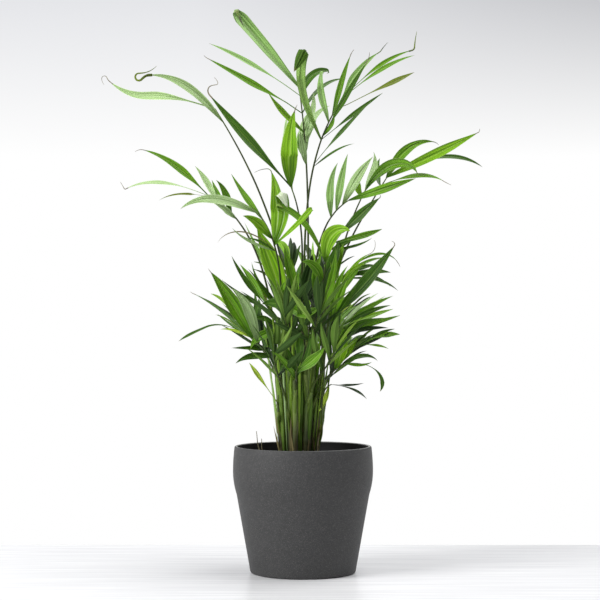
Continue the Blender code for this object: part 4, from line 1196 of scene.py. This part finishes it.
def make_canes(stems):
    """Canes with ringed joints and a slight sway. Together they replace the frame's stems."""
    skin = Skin()
    for stem in stems:
        draw = random.Random(stem.name)
        phase = draw.uniform(0, 2 * math.pi)
        joint = draw.uniform(4, CANE_RING_SPACING)
        points, radii = [], []
        for k in range(CANE_RINGS):
            share = k / (CANE_RINGS - 1)
            sway = math.sin(math.pi * share) * CANE_SWAY
            aside = Vector((math.cos(phase + 3 * share), math.sin(phase + 3 * share), 0.0)) * sway
            sink = UP * CANE_SINK * (1 - share) ** CANE_SINK_CURVE
            points.append(stem_point(stem, share) + aside - sink)
            from_joint = (share * stem.height - joint) % CANE_RING_SPACING
            rise = CANE_RING_RISE * math.exp(-((from_joint / CANE_RING_WIDTH) ** 2))
            size = stem_radius(share) * (1 - CANE_TAPER * from_joint / CANE_RING_SPACING) + rise
            radii.append(lobed(size, phase))
        add_tube(skin, points, radii, CANE_SIDES)
    finish = cane_finish("palm_cane_skin", 0.45, "#2C3E0C", "#6E8A34", "#18140A", "#3E3A18")
    canes = skin.piece("canes", [finish], 70.0)
    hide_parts(*[stem.name for stem in stems])


def frond_axes(plane):
    """The level and the outward direction of the upright plane that a frond's headings are told in."""
    angle = math.radians(plane)
    level = Vector((math.cos(angle), math.sin(angle), 0.0))
    return level, UP.cross(level)


def stalk_curve(frond, stem, shift):
    """A cubic curve from the stem to the frond's end. shift bends it out of its plane, in millimetres."""
    level, out = frond_axes(frond.plane)
    end = Vector(frond.end)
    heading = math.radians(frond.heading)
    last = level * math.cos(heading) + UP * math.sin(heading)
    centre = stem_point(stem, frond.foot)
    if frond.foot >= 1.0:
        start = centre + stem.direction * GAP
    else:
        aside = end - centre
        aside -= stem.direction * aside.dot(stem.direction)
        start = centre + aside.normalized() * (stem_radius(frond.foot) + STALK_FOOT_RADIUS + GAP)
    span = (end - start).length
    rise = start + stem.direction * span * STALK_RISE + out * shift
    reach = end - last * span * STALK_REACH + out * shift
    return start, rise, reach, end


def curve_point(curve, t):
    """The point at share t of a cubic curve."""
    a, b, c, d = curve
    s = 1 - t
    return a * s**3 + b * 3 * s * s * t + c * 3 * s * t * t + d * t**3


def stalk_line(curve):
    """The middle line of the frame's stalk."""
    return [curve_point(curve, share) for share in STALK_SHARES]


def blade_point(line, distance):
    """The point of the stalk's line at a distance back from its end, in millimetres."""
    for near, far in zip(line[::-1], line[-2::-1]):
        step = (far - near).length
        if distance <= step:
            return near + (far - near) * distance / step
        distance -= step
    return line[0]


def smooth_line(points, steps):
    """A smooth line through points, with steps to each stretch."""
    made = []
    for k in range(len(points) - 1):
        before, here = points[max(k - 1, 0)], points[k]
        there, after = points[k + 1], points[min(k + 2, len(points) - 1)]
        for n in range(steps):
            t = n / steps
            leaving = (there - before) * 0.5 * (t - 2 * t**2 + t**3)
            coming = (after - here) * 0.5 * (t**3 - t**2)
            made.append(here * (1 - 3 * t**2 + 2 * t**3) + there * (3 * t**2 - 2 * t**3) + leaving + coming)
    made.append(points[-1])
    return made


def leaf_width(leaf, t):
    """Half the leaflet's width at share t of its length."""
    if t < leaf.widest:
        rise = max(0.0, t - leaf.neck) / (leaf.widest - leaf.neck)
        curve = rise**2 * (3 - 2 * rise) if leaf.neck else 1 - (1 - rise) ** LEAF_FOOT_CURVE
        shape = LEAF_FOOT_SHARE + (1 - LEAF_FOOT_SHARE) * curve
    else:
        shape = 1 - ((t - leaf.widest) / (1 - leaf.widest)) ** LEAF_TIP_CURVE
    return leaf.width / 2 * shape


def leaf_line(leaf, base, plane, turn=0.0):
    """The leaflet's middle line, and the normals of its upper face, at LEAF_STEPS even steps."""
    level, out = frond_axes(plane)
    depth, roll = math.radians(leaf.depth + turn), math.radians(leaf.roll)
    points, normals = [], []
    here = base.copy()
    for k in range(LEAF_STEPS + 1):
        share = (k + 0.5) / LEAF_STEPS
        hooked = leaf.hook * max(0.0, share - LEAF_HOOK_FROM) / (1 - LEAF_HOOK_FROM)
        heading = math.radians(leaf.heading + leaf.bend * share**2 + hooked)
        flat = level * math.cos(heading) + UP * math.sin(heading)
        along = flat * math.cos(depth) + out * math.sin(depth)
        face = flat.cross(out) * (1 if math.cos(heading) > 0 else -1)
        normal = face * math.cos(roll) - out * math.sin(roll)
        points.append(here)
        normals.append((normal - along * normal.dot(along)).normalized())
        here = here + along * leaf.length / LEAF_STEPS
    return points, normals


def nearest_stem(stems, used, end):
    """The stem whose tip is nearest to a frond's end, passing over those that carry more fronds already."""
    tips = [stem_point(stem, 1.0) for stem in stems]
    costs = [(tip - end).length + FILLER_TURN_TAKING * used.count(k) for k, tip in enumerate(tips)]
    return costs.index(min(costs))


def filler_fronds(stems):
    """The frame's fronds by rule: a leaning stalk with pairs of leaflets that spread and droop."""
    fronds = []
    used = [frond.stem for frond in SHOWN_FRONDS]
    draw = random.Random(PLANT_SEED)
    for ring in FILLER_RINGS:
        for k, azimuth in enumerate(ring.azimuths):
            plane = azimuth + draw.uniform(-6, 6)
            level, _ = frond_axes(plane)
            reach, height = ring.reach * draw.uniform(0.85, 1.15), ring.height * draw.uniform(0.95, 1.04)
            end = CLUMP_MIDDLE + level * reach + UP * height
            heading = ring.heading + draw.uniform(-10, 14)
            leaves = []
            for pair in range(ring.pairs):
                for side in (-1, 1):
                    at = (pair + 0.35 + FILLER_STAGGER * side) / ring.pairs
                    spread = FILLER_SPREAD * draw.uniform(0.8, 1.15) * (1 - 0.3 * at)
                    length = ring.length * draw.uniform(0.85, 1.1)
                    width = ring.width * draw.uniform(0.8, 1.15)
                    lift = heading + FILLER_LIFT + draw.uniform(-8, 12)
                    fall = FILLER_FALL * draw.uniform(0.6, 1.3)
                    roll = side * FILLER_ROLL
                    leaves.append(Leaf(at, lift, length, width, fall, 0.47, side * spread, roll))
            for side, at in ((-1, 0.93), (1, 1.0)):
                length, width, roll = ring.length * 0.95, ring.width * 1.25, side * FILLER_ROLL
                lift, spread = heading + 4 * at, side * 15.0 + 2 * at
                leaves.append(Leaf(at, lift, length, width, FILLER_FALL, 0.5, spread, roll))
            stem = nearest_stem(stems, used, end)
            foot = FILLER_FEET[len(used) % len(FILLER_FEET)]
            used.append(stem)
            tones = (FILLER_TONES * 2)[k:k + len(leaves)]
            name = f"{ring.name}_{k + 1}"
            fronds.append(Frond(name, stem, foot, end, heading, ring.blade, tones, leaves, plane))
    return fronds


class Node:
    """Looks up which corners the frame's node has, to see which of the rule's variants it kept."""

    def __init__(self, name):
        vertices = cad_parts[name].data.vertices
        self.tree = KDTree(len(vertices))
        for vertex in vertices:
            self.tree.insert(vertex.co / MM, vertex.index)
        self.tree.balance()

    def misses(self, points):
        """How far the worst of the points lies from a corner of the node."""
        return max(self.tree.find(point)[2] for point in points)


def kept_line(frond, stem, node):
    """The stalk's line with the sideways bend that the frame's node has."""
    lines = [stalk_line(stalk_curve(frond, stem, shift)) for shift in STALK_SHIFTS]
    radii = [STALK_FOOT_RADIUS + (STALK_TIP_RADIUS - STALK_FOOT_RADIUS) * s for s in STALK_SHARES[:3]]

    def corners(line):
        found = []
        for k in range(len(radii)):
            found += ring_points(line[k], along_line(line, k), RIGHT, radii[k], STALK_SIDES)
        return found

    return min(lines, key=lambda line: node.misses(corners(line)))


def kept_path(leaf, base, frond, node):
    """The leaflet's line with the turn that the frame's node has, or None where the node leaves it out."""
    for turn in LEAF_TURNS:
        points, normals = leaf_line(leaf, base, frond.plane, turn)
        if node.misses([points[-1]]) < SAME_POINT:
            return points, normals
    return None


def with_tail(points, normals, tail):
    """Runs the line on past its end: it folds over within the tail's span, then goes straight."""
    along = (points[-1] - points[-2]).normalized()
    normal = normals[-1]
    across = normal.cross(along).normalized()
    points, normals = list(points), list(normals)
    fold = Matrix.Rotation(-math.radians(tail.fold) / TAIL_FOLD_STEPS, 3, across)
    for _ in range(TAIL_FOLD_STEPS):
        along = fold @ along
        normal = fold @ normal
        points.append(points[-1] + along * tail.span / TAIL_FOLD_STEPS)
        normals.append(normal)
    along = Matrix.Rotation(math.radians(tail.skew), 3, normal) @ along
    rest = tail.length - tail.span
    for _ in range(TAIL_STEPS):
        points.append(points[-1] + along * rest / TAIL_STEPS)
        normals.append(normal)
    return points, normals


def columns_of(width):
    """How many columns and pleats a blade of this width has."""
    for below, columns, pleats in BLADE_COLUMNS:
        if width < below:
            return columns, pleats
    return BLADE_COLUMNS[-1][1:]


def blade_section(half, columns, pleats, wave):
    """One ring of the blade as (across, height) pairs: along its upper side, then back along its lower."""
    gutter = min(half * BLADE_GUTTER, BLADE_DEEPEST_GUTTER)
    depth = min(half * PLEAT_DEPTH, PLEAT_DEEPEST)
    upper, lower = [], []
    for k in range(columns + 1):
        s = 2 * k / columns - 1
        side = abs(s)
        height = -gutter * (1 - side) ** BLADE_GUTTER_CURVE
        height += depth * math.cos(2 * math.pi * pleats * side) * (1 - side**3) if pleats else 0.0
        height += wave * s * side**2
        thick = (BLADE_MARGIN_THICKNESS + (BLADE_THICKNESS - BLADE_MARGIN_THICKNESS) * (1 - side**2)) / 2
        thick *= min(1.0, half / BLADE_NARROW_FOR_THICKNESS)
        rib = BLADE_RIB * math.exp(-((side / BLADE_RIB_SHARE) ** 2)) * min(1.0, half / BLADE_NARROW_FOR_RIB)
        upper.append((s * half, height + (thick if side < 1 else 0.0)))
        if 0 < k < columns:
            lower.append((s * half, height - thick - rib))
    return upper + lower[::-1]


def add_blade(skin, points, normals, leaf, letter, draw):
    """One fine leaflet along a line. Its tone's first finish covers the upper side and the next the lower."""
    columns, pleats = columns_of(leaf.width)
    count = 2 * columns
    twist = math.radians(draw.uniform(-BLADE_TWIST, BLADE_TWIST))
    phase, ripples = draw.uniform(0, 2 * math.pi), draw.uniform(1.5, 3.0)
    rings, places = [], []
    last = len(points) - 1
    steps = [(b - a).length for a, b in zip(points, points[1:])]
    for k in range(last):
        t = sum(steps[:k]) / sum(steps)
        along = along_line(points, k)
        spin = Matrix.Rotation(twist * t * t, 3, along)
        normal = spin @ normals[k]
        normal = (normal - along * normal.dot(along)).normalized()
        across = along.cross(normal)
        half = max(leaf_width(leaf, t), BLADE_NARROWEST_HALF)
        rise = MARGIN_WAVE * min(half / BLADE_NARROW_FOR_WAVE, 1.0)
        section = blade_section(half, columns, pleats, rise * math.sin(2 * math.pi * ripples * t + phase))
        rings.append([points[k] + across * x + normal * z for x, z in section])
        places.append([(x / half, t) for x, _ in section])

    def finish_of(n):
        return 2 * TONE_PLACES[letter] + (0 if n < columns else 1)

    skin.add_rings(rings, places, finish_of, caps=False)
    skin.close_tip(points[-1], (0.0, 1.0), count, finish_of)
    skin.close_foot(count, len(rings), finish_of)


def thread_line(points, plane, stretches):
    """A thread's line: it leaves the leaflet's end and turns in the frond's own upright plane."""
    _, out = frond_axes(plane)
    along = (points[-1] - points[-2]).normalized()
    made = [points[-2], points[-1]]
    for length, degrees in stretches:
        steps = max(2, round(length / THREAD_STEP))
        spin = Matrix.Rotation(-math.radians(degrees) / steps, 3, out)
        for _ in range(steps):
            along = spin @ along
            made.append(made[-1] + along * length / steps)
    return made


def tapered(first, last, count):
    """Radii of a tube that narrows evenly."""
    return [first + (last - first) * k / (count - 1) for k in range(count)]


def make_sheath(skin, stem, foot, line):
    """A sheath wraps the cane below a stalk's foot and closes on the stalk. Gives the stalk's smooth line."""
    start = stem_point(stem, foot)
    below = start - stem.direction * SHEATH_BELOW
    cane = stem_radius(foot)
    points, radii = [], []
    for k in range(SHEATH_STEPS + 1):
        share = k / SHEATH_STEPS
        if share < SHEATH_WRAP_SHARE:
            s = share / SHEATH_WRAP_SHARE
            swell = (SHEATH_WALL + SHEATH_HIDDEN_FOOT) * s * s * (3 - 2 * s)
            points.append(below.lerp(start, s))
            radii.append(cane - SHEATH_HIDDEN_FOOT + swell)
        else:
            s = (share - SHEATH_WRAP_SHARE) / (1 - SHEATH_WRAP_SHARE)
            reach = blade_point(line[::-1], SHEATH_ABOVE * s)
            points.append(start.lerp(reach, min(1.0, s * SHEATH_HASTE)))
            radii.append((cane + SHEATH_SHOULDER) * (1 - s) + (STALK_FINE_FOOT + SHEATH_WALL / 2) * s)
    add_tube(skin, points, radii, SHEATH_SIDES)
    return smooth_line([below.lerp(start, SHEATH_STALK_FROM), *line], STALK_LINE_STEPS)


def onto_stalk(points, stalk):
    """Moves a leaflet's foot onto the smooth stalk, where that passes a little aside of it."""
    base = points[0]
    aside = min(stalk, key=lambda point: (point - base).length) - base
    if aside.length >= FOOT_REACH:
        return points
    return [point + aside * max(0.0, 1 - k / FOOT_BLEND_POINTS) for k, point in enumerate(points)]


def extra_leaflets(frond):
    """The slim leaflets of a frond that the frame leaves out, each with its tone's letter."""
    if frond.name in EXTRA_LEAFLETS:
        return EXTRA_LEAFLETS[frond.name]
    if not frond.plane:
        return []
    draw = random.Random(frond.name)
    made = []
    for leaf in frond.leaves:
        between = max(0.0, leaf.at - 0.5 * FILLER_STAGGER)
        made.append((
            draw.choice(FILLER_TONES),
            leaf._replace(
                at=between,
                heading=leaf.heading + draw.uniform(-6, 16),
                length=leaf.length * BETWEEN_LENGTH * draw.uniform(0.85, 1.1),
                width=leaf.width * BETWEEN_WIDTH * draw.uniform(0.8, 1.2),
                depth=leaf.depth * draw.uniform(0.3, 0.7),
            ),
        ))
    return made


def add_leaflet(skin, threads, frond, k, points, normals):
    """Leaflet k of a frond along its line, with its tail and its thread where it has them."""
    leaf = frond.leaves[k]
    spot = (frond.name, k)
    if frond.plane and region_of(frond) == "front":
        leaf = leaf._replace(width=leaf.width * FRONT_SLIMNESS)
    if spot in TAILS:
        points, normals = with_tail(points, normals, TAILS[spot])
        leaf = leaf._replace(widest=TAILS[spot].widest)
    add_blade(skin, points, normals, leaf, frond.tones[k], random.Random(f"{frond.name} {k}"))
    if spot in THREADS:
        thread = THREADS[spot]
        line = thread_line(points, frond.plane, thread.stretches)
        radii = tapered(thread.radius, THREAD_TIP_RADIUS, len(line))
        add_tube(threads, line, radii, THREAD_SIDES, finish=thread.skin)


def add_frond(frond, stem, skin, stalks, sheaths, threads):
    """One frond of the frame, grown again in its fine form."""
    node = Node(frond.name)
    line = kept_line(frond, stem, node)
    stalk = make_sheath(sheaths, stem, frond.foot, line)
    add_tube(stalks, stalk, tapered(STALK_FINE_FOOT, STALK_FINE_TIP, len(stalk)), STALK_ROUND_SIDES)
    for k, leaf in enumerate(frond.leaves):
        base = blade_point(line, (1 - leaf.at) * frond.blade)
        found = kept_path(leaf, base, frond, node)
        if found and (frond.name, k) not in REGROWN:
            points, normals = found
            add_leaflet(skin, threads, frond, k, onto_stalk(points, stalk), normals)
    for k, (letter, leaf) in enumerate(extra_leaflets(frond)):
        base = blade_point(line, (1 - leaf.at) * frond.blade)
        points, normals = leaf_line(leaf, base, frond.plane)
        add_blade(skin, points, normals, leaf, letter, random.Random(f"{frond.name} more {k}"))


def make_spears(finishes):
    """Young leaves still folded shut, that stand among the canes."""
    skin = Skin()
    draw = random.Random(PLANT_SEED + 1)
    for row in SPEAR_ROWS:
        for k in range(row.count):
            share = math.sqrt((k + 0.5) / row.count)
            angle = (k + 0.5) * GOLDEN_ANGLE + row.turn
            out = Vector((math.cos(angle), math.sin(angle), 0.0))
            base = CLUMP_MIDDLE + out * row.radius * share + UP * (SOIL_CROWN_HEIGHT - 1)
            length = draw.uniform(row.shortest, row.tallest)
            width = row.width * draw.uniform(0.6, 1.2)
            heading = 90 - SPEAR_LEAN * share - draw.uniform(0, 3)
            leaf = Leaf(0, heading, length, width, draw.uniform(-12, 4), 0.6, roll=SPEAR_ROLL)
            points, normals = leaf_line(leaf, base, math.degrees(angle))
            add_blade(skin, points, normals, leaf, row.tones[k % len(row.tones)], draw)
    skin.piece("young_spears", finishes)


def make_scales(stems, finishes):
    """Dry scales, what is left of old sheaths, round the foot of each cane."""
    skin = Skin()
    for stem in stems:
        draw = random.Random(stem.name + " scales")
        for k in range(SCALES_PER_CANE):
            angle = draw.uniform(0, 360)
            level, _ = frond_axes(angle)
            aside = level * (STEM_FOOT_RADIUS - SCALE_INTO_CANE)
            base = stem_point(stem, SCALE_FROM + SCALE_RISE * k) + aside
            length = SCALE_LENGTH * draw.uniform(0.6, 1.3)
            heading = SCALE_HEADING - draw.uniform(0, 9)
            leaf = Leaf(0, heading, length, SCALE_WIDTH, draw.uniform(-14, 8), 0.35, roll=0)
            points, normals = leaf_line(leaf, base, angle)
            add_blade(skin, points, normals, leaf, "R", draw)
    skin.piece("dry_scales", finishes)


def make_stubs(finish):
    """Thin dead stalks that stand at both sides of the clump."""
    skin = Skin()
    for foot, tip in STUBS:
        steps = range(STUB_STEPS + 1)
        line = [foot.lerp(tip, k / STUB_STEPS) + RIGHT * STUB_SWAY * math.sin(k) for k in steps]
        add_tube(skin, line, tapered(STUB_RADIUS, STUB_TIP_RADIUS, len(line)), STUB_SIDES)
    skin.piece("dead_stubs", [finish])


def make_plant():
    """The canes, then every frond's leaflets in the regions of the crown, its stalk, sheath and threads."""
    stems = plan_stems()
    make_canes(stems)
    finishes = leaf_finishes()
    dried, stalk = thread_finish(), stalk_finish()
    sheath = cane_finish("palm_sheath_fibre", 0.5, "#38520E", "#84A042", "#211C0C", "#504A1E")
    skins, stalks, sheaths, threads = {}, Skin(), Skin(), Skin()
    fronds = [frond for frond in SHOWN_FRONDS + filler_fronds(stems) if frond.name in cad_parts]
    for frond in fronds:
        skin = skins.setdefault(region_of(frond), Skin())
        add_frond(frond, stems[frond.stem], skin, stalks, sheaths, threads)
    for region, skin in skins.items():
        leaflets = skin.piece(f"leaflets_{region}", finishes)
        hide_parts(*[f.name for f in fronds if region_of(f) == region])
    stalks.piece("frond_stalks", [stalk])
    sheaths.piece("leaf_sheaths", [sheath])
    olive = finishes[2 * TONE_PLACES["O"]]
    threads.piece("leaf_tip_threads", [dried, stalk, olive])
    make_spears(finishes)
    make_scales(stems, finishes)
    make_stubs(dried)


def make_table():
    """A white board under the pot. Behind its far edge is only the pale backdrop."""
    mesh = bpy.data.meshes.new("table_board")
    bm = bmesh.new()
    bmesh.ops.create_cube(bm, size=1.0)
    for v in bm.verts:
        v.co.x *= TABLE_LENGTH * MM
        v.co.y = (TABLE_FAR if v.co.y > 0 else TABLE_NEAR) * MM
        v.co.z = 0.0 if v.co.z > 0 else -TABLE_THICKNESS * MM
    bm.to_mesh(mesh)
    bm.free()
    mesh.materials.append(table_finish())
    board = bpy.data.objects.new("table_board", mesh)
    bpy.context.scene.collection.objects.link(board)


def make_backdrop():
    """A pale studio: white behind the plant, greyer higher up and to the right as painted shade, and softer as
    a light than as a view.
    """
    world = bpy.data.worlds.new("pale_studio")
    bpy.context.scene.world = world
    world.use_nodes = True
    tree = world.node_tree
    tree.nodes.clear()
    way = add_node(tree, "ShaderNodeTexCoord").outputs["Generated"]
    split = add_node(tree, "ShaderNodeSeparateXYZ", {"Vector": way}).outputs
    low, high = BACKDROP_RISE
    rise = add_node(tree, "ShaderNodeMapRange", {"Value": split[2], "From Min": low, "From Max": high})
    left, right = BACKDROP_ASIDE
    aside = add_node(tree, "ShaderNodeMapRange", {"Value": split[0], "From Min": left, "From Max": right})
    grey = add_node(
        tree, "ShaderNodeMix", {0: aside, 6: BACKDROP_GREY_LEFT, 7: BACKDROP_GREY_RIGHT}, data_type="RGBA"
    ).outputs[2]
    shown = add_node(
        tree, "ShaderNodeMix", {0: rise, 6: BACKDROP_WHITE, 7: grey}, data_type="RGBA"
    ).outputs[2]
    seen = add_node(tree, "ShaderNodeBackground", {"Color": shown, "Strength": 1.0})
    glow = add_node(tree, "ShaderNodeBackground", {"Color": shown, "Strength": STUDIO_GLOW})
    rays = add_node(tree, "ShaderNodeLightPath").outputs
    seen_rays = add_node(
        tree, "ShaderNodeMath", {0: rays["Is Camera Ray"], 1: rays["Is Glossy Ray"]}, operation="MAXIMUM"
    )
    both = add_node(tree, "ShaderNodeMixShader", {0: seen_rays, 1: glow, 2: seen})
    add_node(tree, "ShaderNodeOutputWorld", {"Surface": both})


def make_lights():
    """The softboxes, each turned to face what it aims at."""
    for box in SOFTBOXES:
        data = bpy.data.lights.new(box.name, "AREA")
        data.shape = "RECTANGLE"
        data.size, data.size_y = box.width, box.height
        data.energy = box.watts
        lamp = bpy.data.objects.new(box.name, data)
        lamp.location = box.place
        lamp.rotation_euler = (Vector(box.aim) - Vector(box.place)).to_track_quat("-Z", "Y").to_euler()
        bpy.context.scene.collection.objects.link(lamp)


def make_camera():
    """The photo's level view, from far enough for one millimetre to be one pixel at the pot's axis."""
    data = bpy.data.cameras.new("photo_camera")
    data.sensor_width = SENSOR_WIDTH
    data.lens = SENSOR_WIDTH * CAMERA_DISTANCE / PHOTO_WIDTH_PX
    data.shift_y = HORIZON_BELOW_MIDDLE_PX / PHOTO_WIDTH_PX
    camera = bpy.data.objects.new("photo_camera", data)
    camera.location = Vector((PHOTO_CENTRE_X, -CAMERA_DISTANCE, CAMERA_HEIGHT)) * MM
    camera.rotation_euler = (math.radians(90), 0.0, 0.0)
    bpy.context.scene.collection.objects.link(camera)
    bpy.context.scene.camera = camera


def main():
    """The pot, the soil and the plant, and the studio round them."""
    bpy.context.scene.view_settings.view_transform = "Standard"
    make_pot()
    soil = make_soil()
    for grains in SOIL_GRAINS:
        strew(soil, grains)
    make_plant()
    make_table()
    make_backdrop()
    make_lights()
    make_camera()


main()
